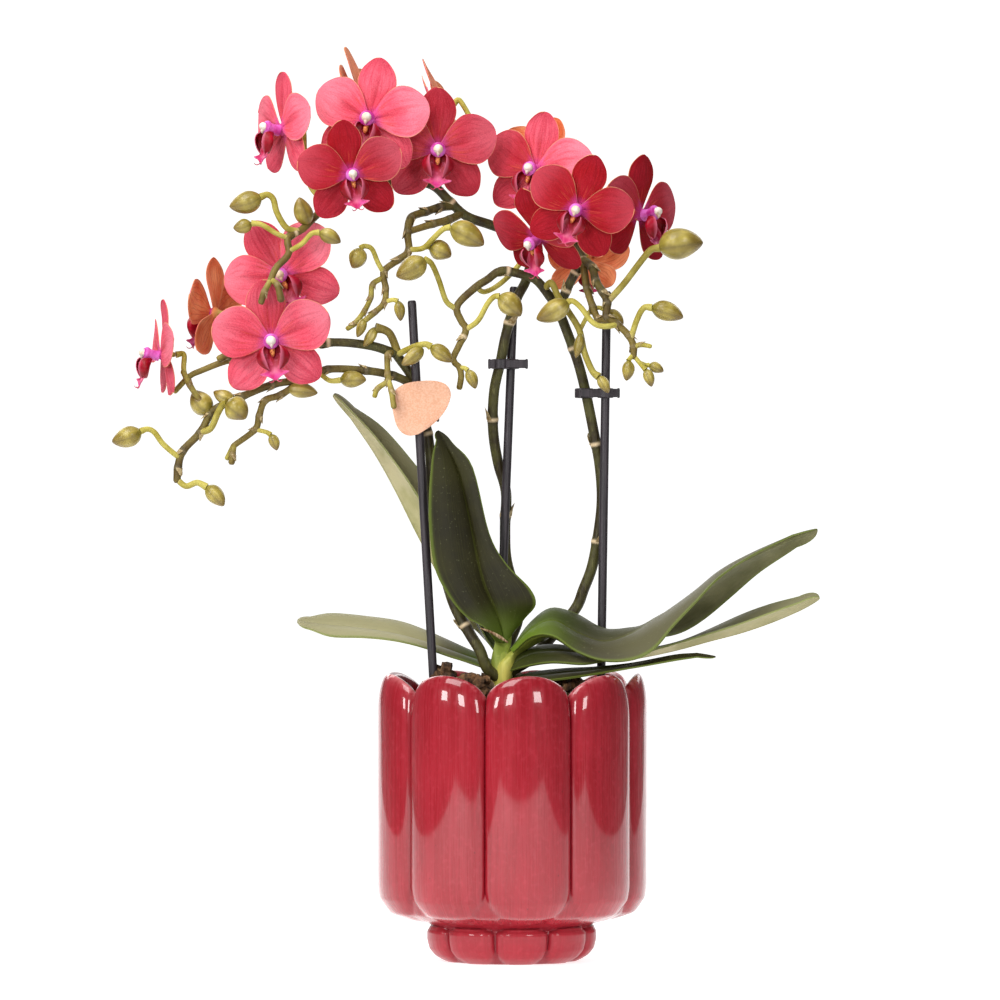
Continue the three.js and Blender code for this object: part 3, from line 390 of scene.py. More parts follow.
shade = glaze.mix(streak, (136, 16, 28), (147, 23, 37))
shade = glaze.mix(glaze.step(cloud, 0.45, 0.7) * 0.3, shade, (170, 34, 49))
shade = glaze.mix(glaze.step(mottle, 0.5, 0.75) * 0.25, shade, (182, 56, 70))
shade = glaze.mix(glaze.step(fine_brush, 0.6, 0.72) * 0.05, shade, (190, 78, 90))
# painted shade in the creases between the fingers and in the grooves of the foot
shade = glaze.mix(pool * 0.6, shade, (104, 10, 22))
# paler over the rim crests: thin glaze with a painted highlight
shade = glaze.mix(thin_glaze_and_highlight * 0.7, shade, (206, 120, 124))
shade = glaze.mix(pinhole * 0.6, shade, (84, 10, 18))
# painted light on the foot, as if lit and mirrored from the white table below
shade = glaze.mix(foot * 0.15, shade, (206, 80, 92))
glaze.set("Base Color", shade)
glaze.set("Roughness", 0.24 + 0.06 * streak + 0.2 * foot)
glaze.set("Coat Weight", 0.85 - 0.4 * foot)
glaze.bump(ripple * 0.8 + brush * 0.04 - pinhole * 0.2, 0.35, 0.0011)
print("glaze nodes:", len(glaze.tree.nodes))

# %% [markdown]
# ## Pot
# Nine upright fingers stand round a plain core, each domed at the rim and rounded off above
# the foot, and the foot repeats them small. One ring of points serves the whole pot: a point's
# share says where it sits on its lobe, and each height turns shares into radii. The points
# lie close where a lobe turns in to the valley, because a lathe or an even spacing would blunt
# the crease.

# %% A ring of the pot
LOBES = 9
LOBE_TURN = 8  # degrees from the front to the crest of the nearest lobe
POINTS_ON_LOBE = 26

# over one lobe: from a valley at -1 over the crest at 0, and how far a round lobe stands out
lobe_steps = -np.cos(np.arange(POINTS_ON_LOBE) * math.pi / POINTS_ON_LOBE)
lobe_crest = np.sqrt(1 - lobe_steps ** 2)


def pot_ring(radius, height):
    """One ring of the pot from a radius and a height, each one number or one for each step."""
    turns = (LOBE_TURN + (2 * np.arange(LOBES)[:, None] + lobe_steps) * 180 / LOBES) * math.pi / 180
    height = np.broadcast_to(height, turns.shape)
    return np.dstack([np.sin(turns) * radius, -np.cos(turns) * radius, height]).reshape(-1, 3)


print("points on a ring of the pot:", len(pot_ring(1, 0)))

# %% Foot and fingers of the pot
BASE_RADIUS = 23
FOOT_CORE = 33
FOOT_RADIUS = 35.2
FOOT_LOBE_DEPTH = 1.8
CORE_RADIUS = 53.5
LOBE_DEPTH = 5.5
LOBE_FULL = 34  # height at which a finger has its whole depth
LOBE_END = 16.5  # how far below that its rounded lower end reaches


# a row of the profile: radius, height, how thin the glaze lies there with its painted highlight, and how
# much painted shade lies in the crease
def foot_rows():
    """The small lobed foot, rounded below and above."""
    rows = [(BASE_RADIUS, 0, 0, 0)]
    for height in [*np.linspace(0.05, 8, 14), *np.linspace(9, 12.6, 4), *np.linspace(13, 16.4, 9)]:
        drop = max(0, (8 - height) / 8.6, (height - 12.6) / 3.4)
        toe = np.sqrt(np.maximum(0, 1 - np.abs(lobe_steps / 0.97) ** 3.4 - drop ** 2.4))
        core = np.interp(height, [0, 1, 3, 6, 10, 15, 16.5], [26, 27.6, 30, 32, FOOT_CORE, FOOT_CORE, 35.6])
        radius = core + (FOOT_RADIUS + FOOT_LOBE_DEPTH - FOOT_CORE) * toe
        rows.append((radius, height, 0, np.exp(-((toe - 0.05) / 0.2) ** 2)))
    return rows


def finger_end_rows():
    """The rounded lower ends of the fingers."""
    rows = []
    for height in np.linspace(17.2, LOBE_FULL, 22):
        core = np.interp(height, [17, 18.4, 21.5, 28, 34], [37, 43, 50, 53.1, CORE_RADIUS])
        drop = max(0, (LOBE_FULL - height) / LOBE_END)
        lobe = np.sqrt(np.maximum(0, 1 - lobe_steps ** 2 - drop ** 2))
        rows.append((core + LOBE_DEPTH * lobe, height, 0, 0.5 * np.exp(-((lobe - 0.12) / 0.12) ** 2)))
    return rows


print("rows of the foot and the lower ends:", len(foot_rows()) + len(finger_end_rows()))

# %% Rim and inside of the pot
NOTCH_HEIGHT = 114.8  # a little under the CAD notch, which a pointed valley hides
LOBE_RISE = 10.2
DOME = 15  # how far down a finger its rounded top reaches
INNER_RADIUS = 48.3
INNER_LOBE_DEPTH = 4
INNER_EDGE = 3  # how far down the inside the rim's inner edge is rounded
LEDGE_HEIGHT = 20
FLOOR_HEIGHT = 7

rim_height = NOTCH_HEIGHT + LOBE_RISE * lobe_crest ** 1.25
full_radius = CORE_RADIUS + LOBE_DEPTH * lobe_crest
inner_radius = INNER_RADIUS + INNER_LOBE_DEPTH * lobe_crest
valley = 1 - np.minimum(1, lobe_crest / 0.32)


def rim_rows():
    """The straight fingers, and their domes over to the inside."""
    rows = []
    for share in np.linspace(0, 1, 24)[1:-1]:
        rows.append((full_radius, LOBE_FULL + share * (rim_height - DOME - LOBE_FULL), 0, valley))
    wall = (full_radius - inner_radius) * 0.6
    for turn in np.linspace(0, math.pi / 2, 18):
        radius = full_radius - wall * (1 - math.cos(turn))
        height = rim_height - DOME * (1 - math.sin(turn))
        rows.append((radius, height, math.sin(turn) ** 12, valley * math.cos(turn)))
    for turn in np.linspace(0, math.pi / 2, 6)[1:]:
        radius = inner_radius + (full_radius - inner_radius - wall) * (1 - math.sin(turn))
        rows.append((radius, rim_height - INNER_EDGE * (1 - math.cos(turn)), math.cos(turn) ** 2, 0))
    return rows


def inner_rows():
    """The wall inside, the ledge that carries the nursery pot, and the floor."""
    rows = []
    for share in np.linspace(0, 1, 10)[1:]:
        height = rim_height - INNER_EDGE + share * (LOBE_FULL - rim_height + INNER_EDGE)
        rows.append((inner_radius, height, 0, 0))
    rows.append((INNER_RADIUS - 3, LEDGE_HEIGHT + 4, 0, 0))
    rows.append((INNER_RADIUS - 7, LEDGE_HEIGHT, 0, 0))
    rows.append((FOOT_RADIUS - 6, LEDGE_HEIGHT, 0, 0))
    rows.append((FOOT_RADIUS - 7.5, FLOOR_HEIGHT, 0, 0))
    return rows


print("rows of the rim and the inside:", len(rim_rows()) + len(inner_rows()))

# %% The whole pot
def over_pot(values):
    """A value for each point of the pot's rings and its two poles."""
    rows = [np.tile(np.broadcast_to(value, lobe_steps.shape), LOBES) for value in values]
    return np.concatenate([[0], np.ravel(rows), [0]])


def build_pot():
    profile = foot_rows() + finger_end_rows() + rim_rows() + inner_rows()
    rings = [pot_ring(radius, height) for radius, height, _, _ in profile]
    points, faces = skin_over((0, 0, 0), rings, (0, 0, FLOOR_HEIGHT))
    lobe_way = (np.arange(LOBES)[:, None] * 2 + lobe_steps).ravel() * math.pi * CORE_RADIUS / LOBES
    around = np.concatenate([[0], np.tile(lobe_way, len(profile)), [0]])
    _, _, thin, pool = (over_pot(values) for values in zip(*profile))
    shape = Shape()
    shape.add(points, faces, height=points[:, 2], around=around, thin=thin, pool=pool)
    shape.build("lobed_pot", [glaze], "glaze", "pot", sharp=70)


build_pot()
print("pot triangles:", made["lobed_pot"])

# %% [markdown]
# ## Nursery pot and bark
# Inside the ceramic stands the thin plastic pot that the plant was raised in, full of bark
# chips. Only its rim and the top chips show, between the notches of the ceramic rim. A chip
# is a box with every point pushed about, which splits like bark does. Loose chips lie in low
# heaps on the bed, and strands of moss lie between them.

# %% Plastic, bark and moss finishes
smoky = Finish("smoky_plastic", roughness=0.35)
smoke = smoky.noise(60.0, 3.0)
smoky.set("Base Color", smoky.mix(smoky.step(smoke, 0.35, 0.7), (46, 38, 32), (84, 72, 60)))
smoky.bump(smoke, 0.15, 0.0006)

bark = Finish("bark_chips", specular_ior_level=0.25)
fibre = bark.fibres((700.0, 190.0, 320.0), 6.0)
blotch = bark.noise(170.0, 4.0)
wood = bark.mix(bark.step(fibre * 0.5 + blotch * 0.5, 0.36, 0.62), (34, 24, 17), (132, 96, 64))
wood = bark.mix(bark.step(blotch, 0.58, 0.7) * 0.5, wood, (186, 152, 112))
wood = bark.mix(bark.mark("tone") * 0.55, wood, (36, 24, 20))
bark.set("Base Color", wood)
bark.set("Roughness", 0.78 + 0.2 * fibre)
bark.bump(fibre, 0.8, 0.0009)

moss = Finish("moss_strands", roughness=0.85, specular_ior_level=0.2)
strand = moss.noise(240.0, 3.0)
moss.set("Base Color", moss.mix(moss.step(strand, 0.35, 0.65), (70, 66, 30), (150, 142, 84)))
moss.bump(strand, 0.4, 0.0004)
print("bark nodes:", len(bark.tree.nodes))

# %% Nursery pot
NURSERY_RADIUS = 45
NURSERY_FOOT_RADIUS = 39
NURSERY_BASE = LEDGE_HEIGHT + 0.3
BARK_TOP = 116
NURSERY_TOP = BARK_TOP - 2


def turned(profile, sides):
    """A turned skin. The profile runs from the middle of the underside to the middle on top."""
    rings = [[(r * math.cos(a), r * math.sin(a), z) for a in turns_of(sides)] for r, z in profile[1:-1]]
    return skin_over((0, 0, profile[0][1]), rings, (0, 0, profile[-1][1]))


nursery_profile = [
    (0, NURSERY_BASE),
    (NURSERY_FOOT_RADIUS - 1, NURSERY_BASE),
    (NURSERY_FOOT_RADIUS, NURSERY_BASE + 1),
    (NURSERY_RADIUS, NURSERY_TOP - 3),
    (NURSERY_RADIUS + 1.3, NURSERY_TOP - 3),
    (NURSERY_RADIUS + 1.5, NURSERY_TOP - 2.8),
    (NURSERY_RADIUS + 1.5, NURSERY_TOP - 0.2),
    (NURSERY_RADIUS + 1.3, NURSERY_TOP),
    (NURSERY_RADIUS - 0.6, NURSERY_TOP),
    (NURSERY_RADIUS - 0.9, NURSERY_TOP - 0.4),
    (NURSERY_FOOT_RADIUS - 1, NURSERY_BASE + 1.2),
    (0, NURSERY_BASE + 1),
]
nursery = Shape()
nursery.add(*turned(nursery_profile, 96))
nursery.build("nursery_pot", [smoky], "clear_plastic", "grow_pot", sharp=35)
print("nursery pot triangles:", made["nursery_pot"])

# %% A bark chip
CHIP_GRID = (5, 4, 3)  # points along, across and through a chip


def rotation(axis, angle):
    """A turn about one of the three axes."""
    matrix = np.eye(3)
    a, b = (i for i in range(3) if i != axis)
    matrix[a, a] = math.cos(angle)
    matrix[b, b] = math.cos(angle)
    matrix[a, b] = -math.sin(angle)
    matrix[b, a] = math.sin(angle)
    return matrix


def chip(centre, size, rng):
    """A rough box: the outer points of a grid, with corners pulled in and points pushed about."""
    lattice = np.stack(np.meshgrid(*(np.linspace(-1, 1, n) for n in CHIP_GRID), indexing="ij"), -1)
    outer = np.abs(lattice).max(-1) == 1
    points = lattice[outer]
    inward = 1 - 0.09 * (np.abs(points).sum(1, keepdims=True) - 1)
    push = np.array([rng.gauss(0, 0.09) for _ in range(points.size)])
    points = (points * inward + push.reshape(-1, 3)) * np.array(size) / 2
    for axis, most in enumerate((0.5, 0.4)):
        points = points @ rotation(axis, rng.uniform(-most, most)).T
    points = points @ rotation(2, rng.uniform(0, 2 * math.pi)).T

    number = np.full(outer.shape, -1)
    number[outer] = np.arange(len(points))
    faces = []
    for outward in (number[:, :, -1], number[-1], number[:, 0]):
        faces += grid_faces(outward.T)
    for inverted in (number[:, :, 0], number[0], number[:, -1]):
        faces += [face[::-1] for face in grid_faces(inverted.T)]
    return points + centre, faces


print("corners on a chip:", len(chip((0, 0, 0), (1, 1, 1), random.Random(1))[0]))

# %% Heaps of bark chips
CHIPS = 120
Heap = namedtuple("Heap", "middle spread layers")
HEAPS = [
    Heap((-29, -3), 9, 6),
    Heap((-18, -14), 9, 4),
    Heap((14, 6), 12, 4),
    Heap((24, -8), 9, 3),
    Heap((-4, 22), 15, 4),
]
LAYER = 2.1  # how much a layer of loose chips adds to a heap


def bed_chips(shape, rng):
    """Chips pressed flat all over the bed, spaced like the seeds of a sunflower."""
    for i in range(CHIPS):
        turn = i * math.pi * (3 - math.sqrt(5))
        reach = 38.5 * math.sqrt((i + 0.5) / CHIPS)
        centre = (reach * math.cos(turn), reach * math.sin(turn), BARK_TOP - 3.6 + rng.uniform(-0.6, 2.6))
        size = (rng.uniform(7, 14), rng.uniform(5, 9), rng.uniform(2.5, 5))
        shape.add(*chip(centre, size, rng), tone=rng.random())


def loose_chips(shape, rng, heap):
    """Smaller chips in layers that draw in towards the top of a heap."""
    for layer in range(heap.layers):
        for _ in range(11 - 2 * layer):
            reach = heap.spread * (1 - 0.16 * layer) * math.sqrt(rng.random())
            turn = rng.uniform(0, 2 * math.pi)
            z = BARK_TOP + 1 + LAYER * layer + rng.uniform(-0.5, 0.5)
            centre = (heap.middle[0] + reach * math.cos(turn), heap.middle[1] + reach * math.sin(turn), z)
            size = (rng.uniform(5, 9), rng.uniform(3.5, 6), rng.uniform(2.4, 4))
            shape.add(*chip(centre, size, rng), tone=rng.random())


print("heaps of loose chips:", len(HEAPS))

# %% Bark with moss
STRANDS = 230


def moss_strand(shape, rng, start, heap):
    """A thin strand that wanders from its start and sinks on to the slope of the heap."""
    bends = [np.array(start)]
    heading = rng.uniform(0, 2 * math.pi)
    for _ in range(4):
        heading += rng.uniform(-0.9, 0.9)
        bends.append(bends[-1] + (2 * math.cos(heading), 2 * math.sin(heading), rng.uniform(-1.6, 0.3)))
    path = spline(bends, 3)
    path[:, :2] *= np.minimum(1, 43 / np.linalg.norm(path[:, :2], axis=1))[:, None]
    slope = np.clip(1.1 - np.linalg.norm(path[:, :2] - heap.middle, axis=1) / heap.spread, 0, 1)
    path[:, 2] = np.minimum(path[:, 2], BARK_TOP + 1 + LAYER * heap.layers * slope)
    shape.add(*tube(path, np.linspace(0.32, 0.14, len(path)), 5), finish=1)


def build_bark():
    rng = random.Random(7)
    shape = Shape()
    low = NURSERY_BASE + 1.4
    high = BARK_TOP - 4.5
    core = [(0, low), (NURSERY_FOOT_RADIUS - 2, low), (NURSERY_RADIUS - 1.6, high), (0, high)]
    shape.add(*turned(core, 60), tone=0.8)
    bed_chips(shape, rng)
    for heap in HEAPS:
        loose_chips(shape, rng, heap)
    for i in range(STRANDS):
        turn = rng.uniform(0, 2 * math.pi)
        reach = 42 * math.sqrt(rng.random())
        start = (reach * math.cos(turn), reach * math.sin(turn), BARK_TOP + rng.uniform(-1.5, 1))
        heap = Heap((0, 0), 9, 0)
        if i % 3 == 0:
            heap = HEAPS[i // 3 % len(HEAPS)]
            x, y = (middle + rng.gauss(0, 0.2) * heap.spread for middle in heap.middle)
            start = (x, y, BARK_TOP + LAYER * heap.layers * rng.uniform(0.3, 0.8))
        moss_strand(shape, rng, start, heap)
    shape.build("bark_and_moss", [bark, moss], "bark", "bark", sharp=32)


build_bark()
print("bark triangles:", made["bark_and_moss"])

# %% [markdown]
# ## Leaves
# A moth orchid's leaf is thick and leathery, folded along its midrib, dark above and paler
# below. Each leaf here is set out by three rails, its front edge, midrib and back edge. The
# halves swell a little between the rails, and the edges wave. A flat plane bent by a modifier
# would lose the fold, which is what catches the light.

# %% Leaf finish
leaf = Finish("leaf_skin", specular_ior_level=0.2)
along, across, rim = leaf.marks("along", "across", "rim")
upper, pale, fresh, far, under = leaf.marks("upper", "pale", "fresh", "far", "under")
patch = leaf.noise(55.0, 4.0)
grain = leaf.noise(900.0, 2.0)
lines = leaf.noise(1.0, 3.0, leaf.vector(across * 34.0, along * 1.6, 0.0))

top = leaf.mix(leaf.step(patch, 0.3, 0.7), (30, 27, 10), (45, 43, 16))
top = leaf.mix(pale * leaf.step(along, 0.15, 0.45), top, (190, 184, 140))
top = leaf.mix((1 - leaf.step(along, 0.0, 0.3)) * fresh, top, (110, 136, 40))
top = leaf.mix(leaf.step(lines, 0.5, 0.75) * 0.16, top, (92, 96, 46))
# painted shade on the half behind the midrib
top = leaf.mix(leaf.step(across, -0.1, 0.25) * far, top, (40, 46, 16))

pale_below = leaf.mix(leaf.step(patch, 0.35, 0.65), (172, 168, 114), (208, 200, 156))
pale_below = leaf.mix(leaf.step(lines, 0.5, 0.75) * 0.3, pale_below, (142, 140, 84))
# the dark underside is painted shade, and under leans from it to the pale underside
shaded_below = leaf.mix(leaf.step(patch, 0.35, 0.65), (56, 58, 24), (82, 84, 38))

blade_colour = leaf.mix(upper, leaf.mix(under, shaded_below, pale_below), top)
blade_colour = leaf.mix(leaf.step(rim, 0.9, 0.98) * 0.55, blade_colour, (112, 130, 46))
blade_colour = leaf.mix((1 - leaf.step(rim, 0.02, 0.07)) * 0.25, blade_colour, (104, 112, 48))
blade_colour = leaf.mix(leaf.step(grain, 0.64, 0.74) * 0.1, blade_colour, (176, 180, 130))
leaf.set("Base Color", blade_colour)
leaf.set("Roughness", 0.4 + 0.14 * patch)
leaf.bump(lines * 0.5 + grain * 0.14 + patch * 0.6, 0.25, 0.0007)
print("leaf nodes:", len(leaf.tree.nodes))

# %% Where the leaves run
# Beside its rails and tip, a leaf has the way its upper face looks, how much its edges wave,
# and marks: how pale it is above, how fresh a green its base is, how much painted shade
# darkens the half behind the midrib, and how much of the underside is pale, not painted shade.
LEAVES = {
    "leaf_upright": dict(
        rails=dict(
            front=[(-7, -6, 139), (-12, -9, 145), (-19.5, -11, 149.5), (-27, -12, 158.5),
                (-33.4, -12, 172), (-35.6, -12, 194.4), (-34.4, -10, 216.6), (-32.4, -8, 226)],
            rib=[(-3, -3.5, 138), (-5, -4, 147), (-8, -4.5, 155), (-11.7, -5, 163.6), (-14.5, -5, 175),
                (-17.4, -5, 190), (-22.5, -5, 211), (-29.5, -6, 226.5)],
            back=[(1, -1, 143), (6, -4, 149), (10.7, -8.5, 155), (8, -9.5, 162), (-2, -9, 172.3),
                (-9.4, -9, 185.5), (-16.5, -8, 214), (-25.5, -7, 225)],
            tip=(-31.5, -7, 230),
        ),
        upward=(0, -1, 0.2),
        wave=0.5,
        pale=0.0, fresh=0.45, far=0.0, under=0.4,
    ),
    "leaf_back_left": dict(
        rails=dict(
            front=[(-5, -1, 131), (-12.2, 4, 142.2), (-19, 9, 160), (-28, 12, 178), (-38, 16, 196.5),
                (-48, 20, 213), (-58.5, 24, 227), (-70, 29, 238.5)],
            rib=[(-4, 1, 133), (-12, 8, 141.4), (-22, 16, 151), (-31, 22, 168), (-41, 27, 187),
                (-50, 31, 205), (-59, 34, 221), (-69.5, 35, 236.5)],
            back=[(-3, 3, 135), (-9, 13, 149), (-16, 24, 166), (-24, 32, 185), (-34, 37, 204.5),
                (-45, 40, 219.5), (-56.5, 41, 231.5), (-69, 39, 240.5)],
            tip=(-78, 36, 246),
        ),
        upward=(1, 0.4, 1),
        wave=0.4,
        pale=1.0, fresh=0.3, far=0.6, under=1.0,
    ),
    "leaf_low_left": dict(
        rails=dict(
            front=[(-5, -4, 125), (-14, -1.5, 128), (-24, -1, 131.5), (-36, -1, 135.5),
                (-50, -1, 138.5), (-65, 2, 140.5), (-79, 7, 141), (-88, 13, 143.5)],
            rib=[(-4, -1, 126), (-13, 5, 129.5), (-24, 9, 133), (-36, 11, 137), (-50, 13, 141),
                (-65, 16, 143.5), (-79, 18, 145), (-88, 19, 146)],
            back=[(-3, 2, 127), (-12, 12, 132), (-24, 20, 137.5), (-36, 24, 142), (-50, 27, 147),
                (-65, 28, 149.5), (-78, 27, 150), (-88, 24, 148.6)],
            tip=(-93.3, 20, 147),
        ),
        upward=(0, 0, 1),
        wave=0.4,
        pale=0.62, fresh=0.6, far=0.0, under=0.9,
    ),
    "leaf_wavy_right": dict(
        rails=dict(
            front=[(1, -7, 134), (9, -15, 140.5), (18, -19, 141), (28, -23, 135), (40, -27, 131),
                (53, -29, 131.3), (62, -28, 135.8), (70, -25.5, 146), (79, -22, 156),
                (89.4, -17.5, 166.4), (104, -11, 175.5), (122, -4, 184.5)],
            rib=[(0, -4.5, 135), (9, -9, 143.5), (18, -9, 147.5), (28, -10.5, 142.5),
                (40, -12.5, 138.5), (53, -12, 142.5), (62, -10, 148.4), (71, -9, 154), (81, -8, 161),
                (92, -7, 169.5), (105.5, -4, 176.8), (122, -1, 184)],
            back=[(1, -1, 136), (8, -0.5, 146), (17, 2, 153.2), (28, 2.5, 151), (40, 1.8, 144),
                (52, 4, 143.3), (62, 8.5, 140.5), (73, 10, 142.5), (84, 9.5, 148.5), (96, 8, 157.8),
                (109, 6, 169), (124, 3, 179.6)],
            tip=(132.8, 0, 187.4),
        ),
        upward=(0, 0, 1),
        wave=0.5,
        pale=0.16, fresh=0.8, far=0.5, under=0.25,
    ),
    "leaf_right": dict(
        rails=dict(
            front=[(-2, -7, 125.5), (7, -14.5, 128), (18, -21, 129.8), (32, -21, 129.4),
                (45, -16, 131.9), (58, -10, 134), (72, -9, 138), (86, -8.5, 142.5), (100, -8, 147),
                (113, -6.5, 151.3), (125, -4.5, 155.5)],
            rib=[(-2, -5, 127), (8, -9, 132.5), (18, -12, 134.3), (32, -11, 133), (45, -6.5, 131.2),
                (58, -1, 133), (72, 0, 136), (86, 0, 139.8), (100, -0.5, 143.5), (113, -1, 148),
                (125, -1.5, 153)],
            back=[(-2, -3, 128.5), (8, -3.5, 135.5), (19, -3, 137.5), (32, -2, 135.5), (45, 2.5, 133.5),
                (58, 7, 135), (72, 8.8, 138), (86, 9, 143.8), (100, 8, 149.8), (113, 5.5, 154.5),
                (125, 2, 158)],
            tip=(133.7, -1.5, 157.5),
        ),
        upward=(0, 0.3, 1),
        wave=0.3,
        pale=0.5, fresh=0.1, far=0.3, under=0.7,
    ),
    "leaf_low_right": dict(
        rails=dict(
            front=[(-2, -9, 119), (8, -18, 121.3), (20, -24, 122.8), (36, -27.5, 125),
                (53, -26.5, 127.9), (70, -25, 131), (80, -24, 132.3)],
            rib=[(-2, -7, 120.5), (9, -12.5, 123), (21, -16, 124.6), (36, -19.5, 126), (53, -20, 128.8),
                (70, -19.5, 132.3), (80, -20.5, 133.6)],
            back=[(-2, -5, 122), (10, -7, 125.5), (22, -9, 127), (36, -12.5, 127.6), (53, -14, 129.3),
                (70, -15, 132.6), (80, -17.5, 133.5)],
            tip=(88.1, -21, 132.5),
        ),
        upward=(0, 0, 1),
        wave=0.2,
        pale=0.0, fresh=0.1, far=0.4, under=0.2,
    ),
}
print("leaves:", len(LEAVES))

# %% Leaf rails
def leaf_rails(front, rib, back, tip):
    """Front edge, midrib and back edge of a leaf, smoothed and rounded off to its tip."""
    front, rib, back = (spline(rail, 5) for rail in (front, rib, back))
    shares = np.sin(np.linspace(0, math.pi / 2, 9))[1:, None]
    narrow = np.sqrt(np.maximum(1 - shares ** 2, 0.0004))
    end = rib[-1]
    middle = end + shares * (np.array(tip) - end)
    front = np.vstack([front, middle + narrow * (front[-1] - end)])
    back = np.vstack([back, middle + narrow * (back[-1] - end)])
    return front, np.vstack([rib, middle]), back


def leaf_normals(front, rib, back, upward):
    """Which way the upper face looks along the leaf, and whether that turns the grid over."""
    normal = unit(np.cross(np.gradient(rib, axis=0), back - front))
    flip = (normal @ np.array(upward, float)).mean() < 0
    return (-normal if flip else normal), flip


print("rows on a leaf:", len(leaf_rails(**LEAVES["leaf_right"]["rails"])[0]))

# %% Leaf blades
LEAF_COLUMNS = 21


def build_leaf(name, rails, upward, wave, **marks):
    front, rib, back = leaf_rails(**rails)
    normal, flip = leaf_normals(front, rib, back, upward)
    u = np.linspace(-1, 1, LEAF_COLUMNS)
    side = np.abs(u)
    rows = np.linspace(0, 1, len(rib))[:, None]
    width = (np.linalg.norm(front - rib, axis=1) + np.linalg.norm(back - rib, axis=1))[:, None]
    swell = 0.05 * width * np.sin(math.pi * side)
    ripple = wave * side ** 3 * np.sin(rows * 17 + np.where(u > 0, 1.3, 0)) * np.minimum(1, width / 20)
    groove = 0.5 * np.exp(-(u / 0.07) ** 2) * np.minimum(1, width / 12)
    edge = np.where(u[None, :, None] < 0, front[:, None], back[:, None])
    middle = rib[:, None] + side[None, :, None] * (edge - rib[:, None])
    middle = middle + (swell + ripple - groove)[..., None] * normal[:, None]
    thickness = (0.75 + 0.9 * np.exp(-(u / 0.22) ** 2)) * np.minimum(1, 0.35 + width / 14)
    points, faces, upper = blade(middle, thickness, flip)
    along, across, rim = (twice(np.broadcast_to(mark, thickness.shape)) for mark in (rows, u, side))
    shape = Shape()
    shape.add(points, faces, along=along, across=across, rim=rim, upper=upper, **marks)
    shape.build(name + "_blade", [leaf], "leaf", name, sharp=80)


for name, plan in LEAVES.items():
    build_leaf(name, **plan)
print("leaf triangles:", {name: made[name + "_blade"] for name in LEAVES})

# %% [markdown]
# ## Crown
# The leaves sheathe a short stem, fleshy and yellow-green where they clasp it. Each leaf has a
# foot here, a skin that is oval where it leaves the stem and thins out to a keel under the
# first rows of the blade, so blade and stem read as one growth. Torn dry sheaths hang on at
# the bottom, and a brown one lies across the base of the upright leaf.

# %% Crown finish
fresh_skin = Finish("crown_flesh", roughness=0.42, specular_ior_level=0.25)
rise = fresh_skin.mark("along")
speckle = fresh_skin.noise(500.0, 3.0)
streaks = fresh_skin.fibres((500.0, 500.0, 60.0), 3.0)
flesh = fresh_skin.mix(fresh_skin.step(rise, 0.06, 0.3), (200, 188, 92), (132, 146, 58))
flesh = fresh_skin.mix(fresh_skin.step(rise, 0.36, 0.7), flesh, (48, 54, 20))
flesh = fresh_skin.mix(fresh_skin.step(streaks, 0.4, 0.7) * (0.5 - 0.4 * rise), flesh, (104, 120, 42))
flesh = fresh_skin.mix(fresh_skin.step(speckle, 0.62, 0.74) * 0.3, flesh, (206, 204, 120))
fresh_skin.set("Base Color", flesh)
fresh_skin.bump(streaks, 0.25, 0.0005)

papery = Finish("dry_sheath", roughness=0.8, specular_ior_level=0.25)
veins = papery.fibres((900.0, 900.0, 120.0), 4.0)
papery.set("Base Color", papery.mix(papery.step(veins, 0.35, 0.65), (112, 78, 52), (200, 174, 138)))
papery.bump(veins, 0.5, 0.0004)
print("crown nodes:", len(fresh_skin.tree.nodes))

# %% Where the feet stand
# Each foot has its rings in the stem, as a centre with half the width and half the depth, how
# deep the keel under the leaf is from there outwards, and the row of the leaf where it ends.
LEAF_FEET = {
    "leaf_upright": dict(
        stem=[((-4.4, -3.6, 112), 3.4, 3.2), ((-4.8, -3.6, 123), 4.2, 3.4), ((-4.4, -3.4, 131), 4.6, 3.2)],
        keel=(2.6, 1.6, 0.6, 0),
        reach=9,
    ),
    "leaf_wavy_right": dict(
        stem=[((-4, -5, 112), 3, 3), ((-3.6, -5.6, 121), 3.6, 3.2), ((-2.2, -5.8, 128.5), 3.6, 3.4)],
        keel=(3.6, 6, 7.2, 6.6, 4.4, 2, 0),
        reach=23,
    ),
    "leaf_right": dict(
        stem=[((-3.6, -4.5, 106), 2.8, 2.8), ((-3.4, -5, 115), 2.8, 2.6), ((-2.9, -5.2, 121), 2.8, 2.6)],
        keel=(2.6, 2.2, 1, 0),
        reach=13,
    ),
    "leaf_low_right": dict(
        stem=[((-3.6, -4.5, 102), 2.6, 2.6), ((-3.2, -6, 111), 2.6, 2.4), ((-2.7, -6.8, 116), 2.5, 2.4)],
        keel=(2.2, 1.4, 0.6, 0),
        reach=11,
    ),
    "leaf_low_left": dict(
        stem=[((-3.9, -3, 108), 3, 3), ((-4, -2.4, 116), 3, 2.8), ((-4, -1.6, 121.5), 3, 2.8)],
        keel=(2.4, 1.6, 0.8, 0),
        reach=11,
    ),
    "leaf_back_left": dict(
        stem=[((-4, -2.5, 112), 2.8, 2.8), ((-4, -1.5, 121), 2.6, 2.6), ((-4, -0.2, 128), 2.5, 2.4)],
        keel=(2.2, 1.8, 0.8, 0),
        reach=11,
    ),
}
print("feet:", len(LEAF_FEET))

# %% A leaf's foot
FOOT_SIDES = 28


